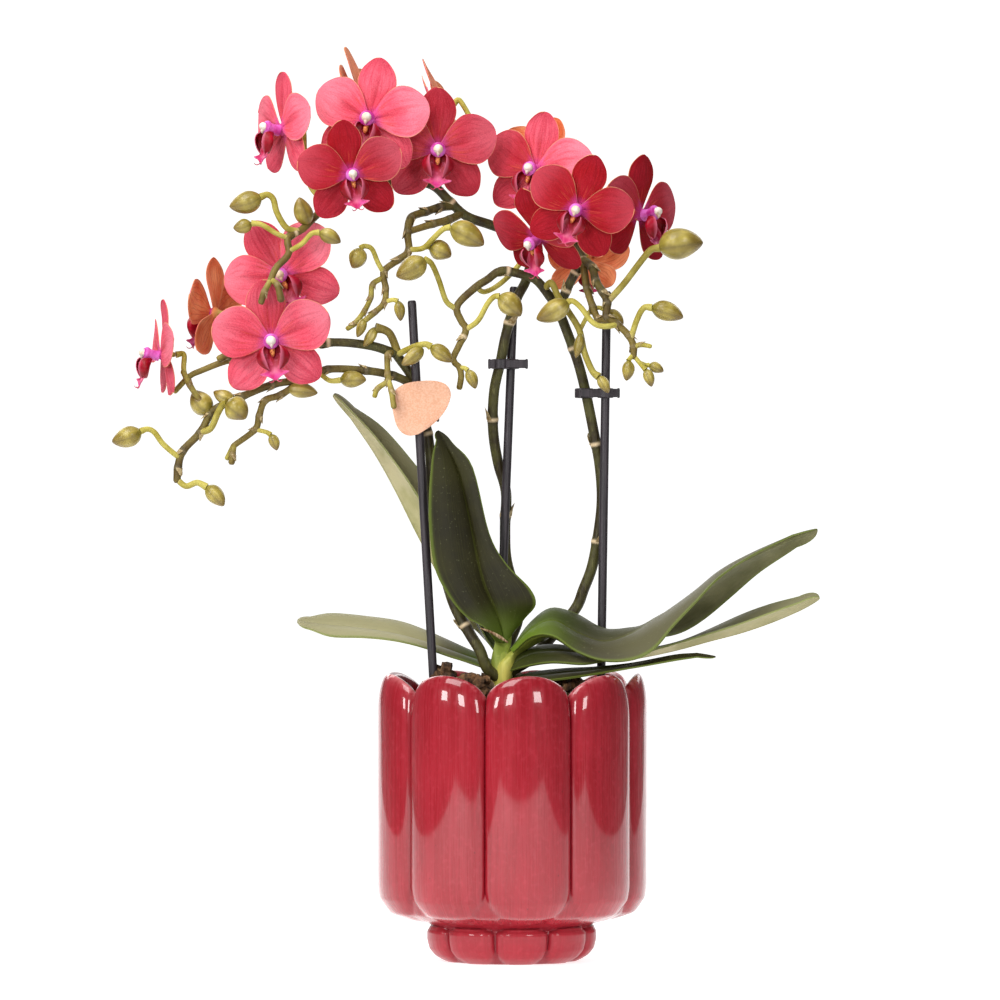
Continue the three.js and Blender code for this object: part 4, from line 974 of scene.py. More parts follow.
def leaf_foot(shape, name, stem, keel, reach):
    """Oval rings in the stem, then a keel of flesh that thins out under the leaf's first rows."""
    front, rib, back = leaf_rails(**LEAVES[name]["rails"])
    up, _ = leaf_normals(front, rib, back, LEAVES[name]["upward"])
    front, rib, back, up = (rows[:reach:2] for rows in (front, rib, back, up))
    path = np.vstack([[centre for centre, _, _ in stem], rib])
    tangents = unit(np.gradient(path, axis=0))
    turns = turns_of(FOOT_SIDES)[:, None]
    u = -np.cos(turns)
    lower = np.sin(turns)
    rings = []
    for (centre, half_width, half_depth), tangent in zip(stem, tangents):
        wide = back[0] - front[0]
        across = unit(wide - (wide @ tangent) * tangent)
        inner = np.cross(tangent, across)
        inner = inner * np.sign(inner @ up[0])
        rings.append(np.array(centre) + half_width * u * across - half_depth * lower * inner)
    for row in range(len(rib)):
        share = row / (len(rib) - 1)
        depth = np.interp(share, np.linspace(0, 1, len(keel)), keel)
        drop = 0.3 + 0.3 * share + depth * np.where(lower > 0, (1 - 0.97 * np.abs(u)) ** 0.8, 0)
        edge = np.where(u < 0, front[row], back[row])
        rings.append(rib[row] + 0.96 * np.abs(u) * (edge - rib[row]) - drop * up[row])
    rings = spline(np.array(rings).reshape(len(rings), -1), 4).reshape(-1, FOOT_SIDES, 3)
    at_the_rib = rings[-1, FOOT_SIDES // 4] / 2 + rings[-1, 3 * FOOT_SIDES // 4] / 2
    points, faces = skin_over(rings[0].mean(0), rings, at_the_rib)
    if np.cross(tangents[-1], back[-1] - front[-1]) @ up[-1] < 0:
        faces = [face[::-1] for face in faces]
    shape.add(points, faces, along=ringed(np.linspace(0, 1, len(rings)), FOOT_SIDES))


test = Shape()
leaf_foot(test, "leaf_right", **LEAF_FEET["leaf_right"])
print("points on a foot:", test.count)

# %% Crown
CROWN_CENTRE = (-3.8, -3.4)
CROWN_PROFILE = [(6.2, 96), (6.2, 107), (5.2, 114), (4.7, 121), (4.1, 128), (2.9, 133), (0.6, 135.5)]
CROWN_SIDES = 36
SCRAPS = [(-2.4, 110, 12), (-0.9, 110, 8), (0.8, 111, 10), (2.3, 110, 12)]  # turn, foot, how tall
BROWN_SCALE = [(-13.4, -10.8, 144.6), (-9, -10, 143), (-5, -9.4, 140.8), (-1.4, -9.4, 138.4)]


def dry_scrap(shape, turn, low, tall):
    """A torn dry sheath round the foot of the crown, part of a cone."""
    u = np.linspace(-1, 1, 21)[None]
    v = np.linspace(0, 1, 15)[:, None]
    z = low + tall * v * (1 - 0.55 * np.abs(u) ** 1.6)
    radius = 4.6 + 2.0 * v ** 2 * (1 - 0.5 * u ** 2)
    angle = turn + 0.6 * u
    x = CROWN_CENTRE[0] + radius * np.cos(angle)
    y = CROWN_CENTRE[1] + radius * np.sin(angle)
    points, faces, _ = blade(np.dstack([x, y, z]), 0.25)
    shape.add(points, faces, finish=1)


def build_crown():
    shape = Shape()
    profile = spline([(r, z, 0) for r, z in CROWN_PROFILE], 8)
    turns = turns_of(CROWN_SIDES)
    fold = 1 + 0.05 * np.cos(2 * turns + 0.6)[None] + 0.035 * np.cos(5 * turns + profile[:, 1:2] * 0.12)
    path = np.array([(*CROWN_CENTRE, z) for z in profile[:, 1]])
    points, faces = tube(path, profile[:, :1] * fold, CROWN_SIDES)
    shape.add(points, faces, along=ringed(np.linspace(0, 0.3, len(path)), CROWN_SIDES))
    for name, foot in LEAF_FEET.items():
        leaf_foot(shape, name, **foot)
    for scrap in SCRAPS:
        dry_scrap(shape, *scrap)
    taper = [0.15, *np.linspace(0.4, 0.8, 10), *np.linspace(0.8, 0.3, 5)]
    shape.add(*tube(spline(BROWN_SCALE, 5), taper, 8), finish=1)
    shape.build("crown_sheaths", [fresh_skin, papery], "crown", "crown", sharp=70)


build_crown()
print("crown triangles:", made["crown_sheaths"])

# %% [markdown]
# ## Sticks, clips and tag
# Three black plastic sticks hold up the spikes. Each clip is moulded in one piece: a snap
# ring on the stick, a wider ring for the stem and a bar between them. The card tag hangs at
# the left clip and is left bare. Rings are turned or swept and never left as boxes, because
# their round edges carry the only highlights that black plastic has.

# %% Plastic and card finishes
black = Finish("black_plastic", specular_ior_level=0.45)
mottle = black.noise(420.0, 3.0)
drag = black.fibres((900.0, 900.0, 25.0), 3.0)
black.set("Base Color", black.mix(black.step(drag, 0.35, 0.7), (24, 19, 24), (50, 42, 48)))
black.set("Roughness", 0.34 + 0.2 * mottle)
black.bump(drag * 0.6 + mottle * 0.4, 0.3, 0.0003)

card = Finish("peach_card", roughness=0.75, specular_ior_level=0.3)
pulp = card.noise(1500.0, 3.0)
cloudy = card.noise(140.0, 2.0)
board = card.mix(card.step(pulp, 0.4, 0.62), (224, 166, 134), (236, 184, 154))
board = card.mix(card.step(cloudy, 0.4, 0.7) * 0.3, board, (240, 194, 166))
card.set("Base Color", board)
card.bump(pulp, 0.3, 0.0002)
print("plastic nodes:", len(black.tree.nodes))

# %% Sticks
STICK_RADIUS = 1.9
STICKS = {
    "stick_left": ((-31.5, -5, 85), (-43, -5, 286.4)),
    "stick_middle": ((-6.8, 14, 85), (1.3, 14, 293)),
    "stick_right": ((38.6, 8, 85), (41.7, 8, 290.8)),
}

for name, ends in STICKS.items():
    foot, top = np.array(ends, float)
    length = np.linalg.norm(top - foot)
    steps = np.concatenate([[0, 6, 12], np.linspace(20, length - 1.2, 12), [length - 0.5, length]]) / length
    radii = np.full(len(steps), STICK_RADIUS)
    radii[:3] = (0.5, 1.1, 1.6)
    radii[-2:] = (STICK_RADIUS - 0.1, STICK_RADIUS - 0.5)
    shape = Shape()
    shape.add(*tube(foot + steps[:, None] * (top - foot), radii, 28))
    shape.build(name + "_rod", [black], "black_plastic", name, sharp=50)
print("stick triangles:", made["stick_left_rod"])

# %% Rings and bars of a clip
RING_SIDES = 32
RING_EDGE = 0.35
BAR_EDGE = 0.3


def clip_ring(shape, centre, inner, outer, height):
    """An open ring with rounded edges round an upright axis."""
    top = height / 2
    section = [
        (inner, RING_EDGE - top),
        (inner + RING_EDGE, -top),
        (outer - RING_EDGE, -top),
        (outer, RING_EDGE - top),
        (outer, top - RING_EDGE),
        (outer - RING_EDGE, top),
        (inner + RING_EDGE, top),
        (inner, top - RING_EDGE),
    ]
    rings = [[(r * math.cos(a), r * math.sin(a), z) for r, z in section] for a in turns_of(RING_SIDES)]
    size = len(section)
    number = np.arange(RING_SIDES * size).reshape(RING_SIDES, size)
    number = np.pad(number, ((0, 1), (0, 1)), "wrap")
    faces = grid_faces(number.T)
    shape.add(np.reshape(rings, (-1, 3)) + centre, faces)


def clip_bar(shape, low, high):
    """A bar with its edges taken off, between two corners."""
    low = np.array(low, float)
    high = np.array(high, float)
    x, y, z = (high - low) / 2
    sections = []
    for end, inset in ((-x, BAR_EDGE), (BAR_EDGE - x, 0), (x - BAR_EDGE, 0), (x, BAR_EDGE)):
        a = y - inset
        b = z - inset
        c = a - BAR_EDGE
        d = b - BAR_EDGE
        outline = [(-c, -b), (c, -b), (a, -d), (a, d), (c, b), (-c, b), (-a, d), (-a, -d)]
        sections.append([(end, y_here, z_here) for y_here, z_here in outline])
    points, faces = skin_over((-x, 0, 0), sections, (x, 0, 0))
    shape.add(points + (low + high) / 2, faces)


test = Shape()
clip_bar(test, (0, 0, 0), (4, 2, 2))
print("faces on a bar:", len(test.faces))

# %% Clips
CLIP_HEIGHT = 4.3
STEM_RING = (2.5, 4.1)
Clip = namedtuple("Clip", "centre length stick stem_at")
CLIPS = {
    "clip_left": Clip((-38.6, -2.4, 236), 15, "stick_left", (-37.8, 0)),
    "clip_middle": Clip((-1.3, 12, 259.2), 17.4, "stick_middle", (-4.6, 10.2)),
    "clip_right": Clip((38.6, 9.4, 246.5), 17.4, "stick_right", (31.8, 10.8)),
}

for name, clip in CLIPS.items():
    x, _, z = clip.centre
    foot, top = np.array(STICKS[clip.stick], float)
    on_stick = foot + (z - foot[2]) / (top[2] - foot[2]) * (top - foot)
    shape = Shape()
    clip_ring(shape, on_stick, STICK_RADIUS + 0.05, STICK_RADIUS + 1.7, CLIP_HEIGHT)
    clip_ring(shape, np.array((*clip.stem_at, z)), *STEM_RING, CLIP_HEIGHT)
    y = min(on_stick[1], clip.stem_at[1]) - STICK_RADIUS - 0.6
    end = clip.length / 2
    half = CLIP_HEIGHT / 2
    clip_bar(shape, (x - end, y - 0.7, z - half + 0.3), (x + end, y + 0.7, z + half - 0.3))
    for hand in (-1, 1):
        tooth = x + hand * (end - 0.6)
        clip_bar(shape, (tooth - 0.6, y, z - half), (tooth + 0.6, y + 3.4, z + half))
    shape.build(name + "_rings", [black], "black_plastic", name, sharp=40)
print("clip triangles:", made["clip_left_rings"])

# %% Tag
TAG_CENTRE = (-38.8, -8.2, 239.8)
TAG_CORNERS = [
    ((-12.8, 3), (-12.8, 10.5), (-2, 11.5)),
    ((-2, 11.5), (12.8, 13.5), (12.8, 5.5)),
    ((12.8, 5.5), (11.5, -4), (-1, -11.2)),
    ((-1, -11.2), (-8, -14), (-11, -7)),
    ((-11, -7), (-12.6, -2), (-12.8, 3)),
]
CARD = 0.7  # how thick the tag is


def build_tag():
    outline = []
    for start, pull, end in np.array(TAG_CORNERS, float):
        for t in np.linspace(0, 1, 14)[:-1]:
            outline.append((1 - t) ** 2 * start + 2 * t * (1 - t) * pull + t * t * end)
    outline = np.array(outline)
    x, z = outline.mean(0)
    inward = unit(outline.mean(0) - outline)
    layers = []
    for inset, depth in ((2.0, 0), (0.12, 0), (0.0, 0.1), (0.0, 0.6), (0.12, CARD), (2.0, CARD)):
        flat = outline + inset * inward
        layers.append(np.insert(flat, 1, -depth, axis=1))
    points, faces = skin_over((x, 0, z), layers, (x, -CARD, z))
    points[:, 1] -= 0.25 * (1 - (points[:, 0] / 13) ** 2)  # the card bows a little
    shape = Shape()
    shape.add(points + np.array(TAG_CENTRE), faces)
    shape.build("bare_tag", [card], "card", "tag", sharp=40)


build_tag()
print("tag triangles:", made["bare_tag"])

# %% [markdown]
# ## Blooms
# Each bloom has three sepals behind two broad petals, and in front of them the lip and the
# column. All sixteen share one plan. A seed for each bloom bends and turns its tepals a
# little, since no two real ones match. The outline of a tepal is a smooth curve, so its rows
# crowd together at the rounded tip by themselves.

# %% Petal finish
petal = Finish("petal_skin", roughness=0.6, specular_ior_level=0.08)
along, across, edge = petal.marks("along", "across", "edge")
front, tone, sepal, stub = petal.marks("front", "tone", "sepal", "stub")
wander = petal.noise(230.0, 3.0)
soft = petal.noise(75.0, 4.0)
velvet_and_sparkle = petal.noise(2000.0, 4.0)
streaks = petal.noise(1.0, 4.0, petal.vector(across * 9.0, along * 2.2, tone * 7.0))
waves = petal.node("ShaderNodeMath", {"operation": "SINE"}, {0: across * 26.0 + wander * along * 16.0})
vein = petal.step(waves, 0.55, 1.0) * (1 - petal.step(along, 0.7, 0.98))
midline = (1 - petal.step(abs(across), 0.0, 0.3)) * (1 - petal.step(along, 0.3, 0.8))
print("petal nodes so far:", len(petal.tree.nodes))

# %% Faces and backs of the petals
def by_tone(shaded, lit):
    """A colour between that of a shaded crimson bloom and that of a lit coral one."""
    return petal.mix(tone, shaded, lit)


face = by_tone((166, 17, 28), (254, 96, 120))
face = petal.mix(petal.step(soft, 0.35, 0.68) * 0.45, face, by_tone((192, 40, 60), (255, 140, 160)))
face = petal.mix(petal.step(streaks, 0.42, 0.66) * 0.5, face, by_tone((128, 6, 16), (226, 56, 84)))
face = petal.mix(midline * 0.5, face, (164, 12, 32))
outer = petal.step(along + soft * 0.4, 0.55, 1.15) * (1 - sepal)
face = petal.mix(outer * 0.4, face, by_tone((216, 92, 110), (255, 164, 180)))
glow = petal.step(streaks, 0.5, 0.7) * petal.step(along, 0.06, 0.2) * (1 - petal.step(along, 0.3, 0.6))
face = petal.mix(glow * 0.5, face, (232, 92, 70))
face = petal.mix(petal.step(along, 0.7, 1.0) * sepal * 0.3, face, (136, 12, 34))
face = petal.mix(vein * 0.13, face, (124, 4, 24))
face = petal.mix((1 - petal.step(along + streaks * 0.16, 0.1, 0.3)) * 0.75, face, (206, 74, 160))
# the light flecks are painted sparkle of the velvet, the dark ones its own texture
face = petal.mix(petal.step(velvet_and_sparkle, 0.5, 0.75) * 0.2, face, by_tone((206, 66, 84), (255, 168, 182)))
face = petal.mix((1 - petal.step(velvet_and_sparkle, 0.3, 0.48)) * 0.25, face, (120, 6, 26))
# a thin painted highlight along the edge of each tepal
edge_highlight = petal.step(edge, 0.955, 0.995) * petal.step(soft, 0.3, 0.55)
face = petal.mix(edge_highlight * 0.6, face, (236, 176, 130))

back = petal.mix(petal.step(soft, 0.35, 0.65), (218, 104, 58), (244, 154, 106))
back = petal.mix(petal.step(streaks, 0.45, 0.7) * 0.5, back, (224, 92, 70))
back = petal.mix(vein * 0.35, back, (176, 56, 46))
back = petal.mix(petal.step(edge, 0.75, 1.0) * 0.4, back, (234, 176, 136))
# painted sparkle on the back of the tepal
back = petal.mix(petal.step(velvet_and_sparkle, 0.55, 0.75) * 0.2, back, (246, 196, 160))

petal.set("Base Color", petal.mix(stub, petal.mix(front, back, face), (172, 150, 80)))
petal.bump(vein * -0.2 + velvet_and_sparkle * 0.25 + soft * 0.6 + streaks * 0.4, 0.4, 0.0005)
print("petal nodes:", len(petal.tree.nodes))

# %% Lip finish
lip = Finish("lip_skin", roughness=0.4, specular_ior_level=0.2)
cream, gold, hood = lip.marks("cream", "gold", "hood")
deep, pale, throat = lip.marks("deep", "pale", "throat")
freckle = lip.noise(1500.0, 2.0)
flush = lip.noise(210.0, 3.0)
stripes = lip.fibres((900.0, 900.0, 260.0), 3.0)
side_lobes = lip.mix(lip.step(flush, 0.4, 0.7), (134, 4, 20), (178, 18, 48))
column = lip.mix(lip.step(flush, 0.35, 0.65), (186, 48, 140), (222, 116, 206))
cap = lip.mix(lip.step(flush, 0.4, 0.7), (246, 238, 226), (232, 206, 170))
lobe = lip.mix(lip.step(flush, 0.35, 0.65), (196, 34, 96), (214, 62, 146))
lobe = lip.mix(lip.step(throat, 0.2, 0.75), (168, 12, 36), lobe)
lobe = lip.mix(lip.step(stripes, 0.5, 0.62) * 0.35, lobe, (236, 96, 140))
lobe = lip.mix(deep, lobe, side_lobes)
lobe = lip.mix(hood, lobe, column)
lobe = lip.mix(pale * 0.6, lobe, (238, 130, 160))
lobe = lip.mix(gold * (1 - lip.step(freckle, 0.5, 0.6) * 0.8), lobe, (234, 150, 84))
lobe = lip.mix(cream, lobe, cap)
lip.set("Base Color", lobe)
lip.bump(flush + freckle * 0.3, 0.3, 0.0003)
print("lip nodes:", len(lip.tree.nodes))

# %% Where the blooms stand
# A bloom has its middle, its turn, tilt and roll in degrees, its size, and its tone, which
# leans from shaded crimson, 0, to lit coral, 1.
Bloom = namedtuple("Bloom", "at turn tilt roll size tone")
BLOOMS = [
    Bloom((-99, -4, 360.6), -60, 0, 0, 1.02, 1.0),
    Bloom((-61.2, -2, 364.6), -8, 0, 8, 1.1, 0.95),
    Bloom((-69, -26, 339.8), 8, -5, -8, 0.97, 0.18),
    Bloom((-31.9, 5, 352), 2, -5, 2, 1.08, 0.3),
    Bloom((10.9, 8, 343.3), -22, 0, 11, 1.05, 0.85),
    Bloom((28.6, -24, 325), -8, -8, 20, 0.98, 0.05),
    Bloom((56.4, 14, 324.6), 50, 0, 4, 1.05, 0.12),
    Bloom((11.7, -4, 314), -35, -30, 0, 0.95, 0.06),
    Bloom((33.5, 24, 304), 165, -30, 0, 0.8, 0.3),
    Bloom((-99, -1, 297.7), -5, -6, -28, 1.08, 0.95),
    Bloom((-103, -22, 268.4), 0, -5, -7, 1.1, 0.8),
    Bloom((-129.3, 5, 281), -118, 0, 0, 0.98, 0.6),
    Bloom((-151, -4, 263), -76, 0, 6, 0.95, 0.85),
    Bloom((-66, 31, 375.3), -105, -15, 0, 1, 0.8),
    Bloom((-31, 36, 371.5), -100, -20, 0, 0.97, 0.9),
    Bloom((13, 32, 347.6), 160, 0, -20, 0.85, 0.2),
]


def stood(points, bloom):
    """Points of a bloom's own space, X to its right, Y up and Z out of its face, set in place."""
    turn, tilt, roll = (math.radians(v) for v in (bloom.turn, bloom.tilt, -bloom.roll))
    out = (math.sin(turn) * math.cos(tilt), -math.cos(turn) * math.cos(tilt), math.sin(tilt))
    right = unit(np.cross((0, 0, 1), out))
    up = np.cross(out, right)
    rolled_right = math.cos(roll) * right + math.sin(roll) * up
    rolled_up = math.cos(roll) * up - math.sin(roll) * right
    return points @ (np.array([rolled_right, rolled_up, out]) * bloom.size) + np.array(bloom.at)


print("blooms:", len(BLOOMS))

# %% How the tepals differ
OUTLINES = {
    "sepal": [(0, 0.2), (0.1, 0.36), (0.3, 0.7), (0.48, 0.94), (0.62, 1), (0.78, 0.86), (0.91, 0.55),
              (0.98, 0.27), (1, 0.02)],
    "petal": [(0, 0.16), (0.1, 0.36), (0.29, 0.74), (0.47, 0.96), (0.62, 1), (0.79, 0.84), (0.92, 0.53),
              (0.982, 0.26), (1, 0.02)],
}
SEPAL = dict(kind="sepal", length=22.5, half=7.8, lift=-0.9, bend=-0.5, cup=-0.5)
PETAL = dict(kind="petal", length=23.3, half=10.3, lift=0.9, bend=-1.2, cup=1)
TEPALS = [
    dict(SEPAL, angle=90, length=23.5, bend=1.5, shade=-0.2),
    dict(SEPAL, angle=-44, shade=-0.1),
    dict(SEPAL, angle=-136, lift=-1.9, shade=-0.12),
    dict(PETAL, angle=21, shade=0.04),
    dict(PETAL, angle=159, shade=-0.08),
]

# painted shade, below zero, or painted light, above zero, on single tepals beyond the rest of their bloom,
# by bloom and angle
SHADED = {
    (2, -136): -0.15,
    (3, -136): 0.15,
    (3, 21): -0.12,
    (4, -136): 0.3,
    (5, -136): -0.5,
    (5, 159): -0.75,
    (6, -44): -0.2,
    (10, 90): -0.2,
    (11, -136): 0.15,
    (11, -44): 0.1,
}
print("tepals of a bloom:", len(TEPALS))

# %% A tepal
TEPAL_ROOT = 1.2  # how far from the bloom's middle a tepal starts
TEPAL_COLUMNS = 17


def tepal(shape, bloom, rng, tepal_shading, kind, angle, length, half, lift, bend, cup, shade):
    outline = spline(OUTLINES[kind], 3)
    s = outline[:, :1]
    w = np.maximum(outline[:, 1:], 0.02)
    t = np.linspace(-1, 1, TEPAL_COLUMNS)[None]
    turn = math.radians(angle + rng.uniform(-2.5, 2.5))
    length = length * rng.uniform(0.97, 1.03)
    skew = rng.uniform(-0.05, 0.05) * half
    phase = rng.uniform(0, 6.3)
    twist = rng.uniform(-0.05, 0.05)

    arch = np.sin(math.pi * s)
    reach = TEPAL_ROOT + s * length + 0 * t
    side = t * w * half + skew * arch
    height = lift + bend * s ** 2 + cup * np.abs(t) * arch
    height = height + twist * side * s + 0.5 * arch * (1 - t ** 2)
    height = height + 0.55 * np.abs(t) ** 3 * np.sin(7 * s + phase + 1.5 * t) * s
    height = height - 0.4 * np.exp(-(t / 0.09) ** 2) * (1 - s) - rng.uniform(0, 0.9) * s ** 4
    x = reach * math.cos(turn) - side * math.sin(turn)
    y = reach * math.sin(turn) + side * math.cos(turn)
    thickness = 0.32 + 0.3 * (1 - t ** 2) * (1 - 0.6 * s)
    points, faces, front = blade(np.dstack([x, y, height]), thickness)

    grid = height.shape
    edge = np.maximum(np.abs(t), np.clip((s - 0.9) / 0.1, 0, 1) ** 2)
    along, across = (twice(np.broadcast_to(mark, grid)) for mark in (s, t))
    tone = min(1, max(0, bloom.tone + (shade + tepal_shading) + rng.uniform(-0.12, 0.12)))
    shape.add(stood(points, bloom), faces, along=along, across=across, edge=twice(edge), front=front,
              tone=tone, sepal=float(kind == "sepal"))


print("rows on a sepal:", len(spline(OUTLINES["sepal"], 3)))

# %% Sepals and petals
# along the short stub that joins a bloom to its stalk: Z, radius, petal front and stalk colour
STUB_ROWS = np.array([
    (-6, 0.7, 0, 1),
    (-5.6, 1.1, 0, 1),
    (-4.4, 1.25, 0, 1),
    (-3.2, 1.5, 0, 0.8),
    (-2.2, 2.3, 0, 0.5),
    (-1.2, 2.9, 0, 0.2),
    (0, 2.8, 1, 0),
    (1.2, 2.3, 1, 0),
    (2.2, 1.2, 1, 0),
])


def build_tepals(number, bloom):
    rng = random.Random(100 + number)
    shape = Shape()
    for plan in TEPALS:
        tepal(shape, bloom, rng, SHADED.get((number, plan["angle"]), 0), **plan)
    z, radii, front, stub = STUB_ROWS.T
    points, faces = tube(z[:, None] * (0, 0, 1), radii, 16)
    shape.add(stood(points, bloom), faces, front=ringed(front, 16), stub=ringed(stub, 16), tone=bloom.tone)
    bloom_name = f"bloom_{number:02d}"
    shape.build(bloom_name + "_sepals_petals", [petal], "petal", bloom_name + "_tepals", sharp=80)


for number, bloom in enumerate(BLOOMS, 1):
    build_tepals(number, bloom)
print("tepal triangles of a bloom:", made["bloom_01_sepals_petals"])

# %% [markdown]
# ## Lip and column
# The column stands out of the middle with a cream cap on its tip. Below it the lip has two
# upright side lobes, a narrow middle lobe that widens to an anchor with two fine tendrils,
# and a golden, freckled callus between them. Every lobe is a blade bent along and across,
# and the column is a ringed skin.

# %% Middle lobe of the lip
# rows down the middle lobe: Y, Z and half its width
MIDDLE_ROWS = [
    (-1.2, 4.4, 1.2),
    (-4.2, 5.6, 2.6),
    (-7.4, 6.9, 3.9),
    (-9.8, 8.1, 3.8),
    (-11.3, 9.0, 3.0),
    (-12.3, 9.6, 5.8),
    (-13.2, 10.0, 2.8),
    (-14.2, 10.3, 1.2),
    (-14.7, 10.5, 0.4),
]
LOBE_COLUMNS = 9


def middle_lobe(shape, bloom):
    """The lip's tongue, which curls at its sides, with a pale blotch and a pale fringe."""
    rows = spline(MIDDLE_ROWS, 4)
    half = rows[:, None, 2:]
    centre = np.insert(rows[:, :2], 0, 0, axis=1)
    u = np.linspace(-1, 1, LOBE_COLUMNS)
    across = np.array([1.0, 0.0, 0.0])
    normal = unit(np.cross(unit(np.gradient(centre, axis=0)), across))
    middle = centre[:, None] + u[:, None] * half * across
    middle = middle + 0.2 * u[:, None] ** 2 * half * normal[:, None]
    points, faces, _ = blade(middle, 0.45)
    down = np.linspace(0, 1, len(rows))[:, None]
    blotch = np.exp(-((down - 0.5) / 0.13) ** 2 - (u / 0.35) ** 2)
    fringe = 0.7 * np.abs(u) ** 6 * (down > 0.15)
    throat = twice(np.broadcast_to(down, blotch.shape))
    shape.add(stood(points, bloom), faces, throat=throat, pale=twice(np.maximum(blotch, fringe)))


print("rows down the middle lobe:", len(spline(MIDDLE_ROWS, 4)))

# %% Side lobes of the lip
# rows down a side lobe: height, how far it bulges out, and its front edge as X and Z
SIDE_ROWS = [
    (-1.4, 3.3, 3.0, 9.2),
    (-2.4, 4.4, 3.4, 10.6),
    (-4.2, 5.9, 3.4, 11.4),
    (-6.2, 6.4, 3.0, 11.6),
    (-8.2, 5.6, 2.5, 11.2),
    (-9.8, 3.9, 2.2, 10.4),
    (-10.6, 2.4, 1.9, 9.6),
]


def bent(start, pull, end, w):
    """The way from start to end, pulled aside, at the share w."""
    return (1 - w) ** 2 * start + 2 * w * (1 - w) * pull + w ** 2 * end


def side_lobe(shape, bloom, hand):
    """A cupped wing from the foot of the column, out and round to a free front edge."""
    height, bulge, edge_x, edge_z = spline(SIDE_ROWS, 4).T[..., None]
    v = np.linspace(0, 1, len(height))[:, None]
    w = np.linspace(0, 1, LOBE_COLUMNS)[None]
    x = bent(1.6, 2 * bulge - 0.5 * (1.6 + edge_x), edge_x, w)
    z = bent(5.2 + 2.2 * v, 7.6 + 0.8 * v, edge_z, w)
    y = height + 0.5 * w * np.sin(math.pi * v)
    points, faces, _ = blade(np.dstack([hand * x, y, z]), 0.35)
    pale = twice(np.broadcast_to(np.clip((w - 0.9) / 0.1, 0, 1), x.shape))
    shape.add(stood(points, bloom), faces, deep=1.0, pale=pale)


print("rows down a side lobe:", len(spline(SIDE_ROWS, 4)))

# %% Lips and columns
# the round parts: rings as Y, Z and radius, how many sides they have, and their mark
COLUMN = [(-0.6, 1.8, 2.5), (-0.3, 4, 2.3), (0.0, 6.2, 2.7), (0.5, 7.8, 3.1), (0.7, 8.8, 2.3)]
CAP = [(0.9, 8.2, 1.5), (0.8, 9.2, 1.95), (0.5, 10.2, 1.55), (0.2, 10.8, 0.5)]
BEAK = [(0.2, 9.2, 1.2), (-1.0, 9.7, 0.8), (-2.1, 9.6, 0.15)]
CALLUS = [(-1.6, 5.6, 0.7), (-3.0, 7.0, 1.0), (-4.4, 7.6, 0.9), (-5.6, 7.4, 0.4)]
ROUND_PARTS = [
    (COLUMN, 18, dict(hood=1.0)),
    (CAP, 16, dict(cream=1.0)),
    (BEAK, 10, dict(cream=0.8)),
    (CALLUS, 12, dict(gold=1.0)),
]
TENDRIL = [
    (0.4, -14.4, 10.4, 0.28),
    (1.2, -15.2, 11.0, 0.24),
    (2.2, -15.2, 11.8, 0.2),
    (2.6, -14.4, 12.4, 0.1),
]


def round_part(shape, bloom, rings, sides, **mark):
    """A round skin over rings of X, Y, Z and radius."""
    rings = spline(rings, 5)
    points, faces = tube(rings[:, :3], rings[:, 3], sides)
    shape.add(stood(points, bloom), faces, **mark)


def build_lip(number, bloom):
    shape = Shape()
    for rings, sides, mark in ROUND_PARTS:
        round_part(shape, bloom, np.insert(rings, 0, 0, axis=1), sides, **mark)
    for hand in (-1, 1):
        side_lobe(shape, bloom, hand)
        round_part(shape, bloom, np.array(TENDRIL) * (hand, 1, 1, 1), 6, pale=0.4)
    middle_lobe(shape, bloom)
    bloom_name = f"bloom_{number:02d}"
    shape.build(bloom_name + "_lip_column", [lip], "lip", bloom_name + "_lip", sharp=70)


for number, bloom in enumerate(BLOOMS, 1):
    build_lip(number, bloom)
print("lip triangles of a bloom:", made["bloom_01_lip_column"])

# %% [markdown]
# ## Spikes
# A spike is a round green-brown stem that branches, zigzags from node to node and carries
# buds and blooms on short pedicels. The routes are those of the CAD. Each stretch is a skin
# along a smooth curve that swells at its nodes, where a pale ring and a small bract sit, and a
# bud is an egg with three seams. Growing them with a plant add-on would not follow the
# photograph.

# %% Stem and bract finishes
stem_skin = Finish("stem_skin", specular_ior_level=0.22)
age, ring = stem_skin.marks("age", "ring")
blot = stem_skin.noise(130.0, 4.0)
hatch = stem_skin.fibres((1400.0, 1400.0, 220.0), 3.0)
young = stem_skin.mix(stem_skin.step(blot, 0.35, 0.65), (168, 154, 58), (204, 192, 96))
grown = stem_skin.mix(stem_skin.step(blot, 0.3, 0.65), (92, 72, 34), (126, 108, 52))
old = stem_skin.mix(stem_skin.step(blot, 0.35, 0.7), (48, 40, 22), (78, 76, 38))
stem_colour = stem_skin.mix(stem_skin.step(age, 0.0, 0.5), young, grown)
stem_colour = stem_skin.mix(stem_skin.step(age, 0.5, 1.0), stem_colour, old)
stem_colour = stem_skin.mix(stem_skin.step(hatch, 0.56, 0.7) * 0.2, stem_colour, (150, 146, 88))
stem_colour = stem_skin.mix(ring, stem_colour, (222, 198, 160))
stem_skin.set("Base Color", stem_colour)
stem_skin.set("Roughness", 0.36 + 0.2 * blot)
stem_skin.bump(hatch + blot * 0.5, 0.3, 0.0004)

bract_skin = Finish("bract_skin", roughness=0.6, specular_ior_level=0.3)
dry = bract_skin.noise(800.0, 3.0)
bract_colour = bract_skin.mix(bract_skin.step(dry, 0.35, 0.65), (134, 108, 66), (196, 178, 134))
bract_skin.set("Base Color", bract_colour)
bract_skin.bump(dry, 0.4, 0.0003)
print("stem nodes:", len(stem_skin.tree.nodes))

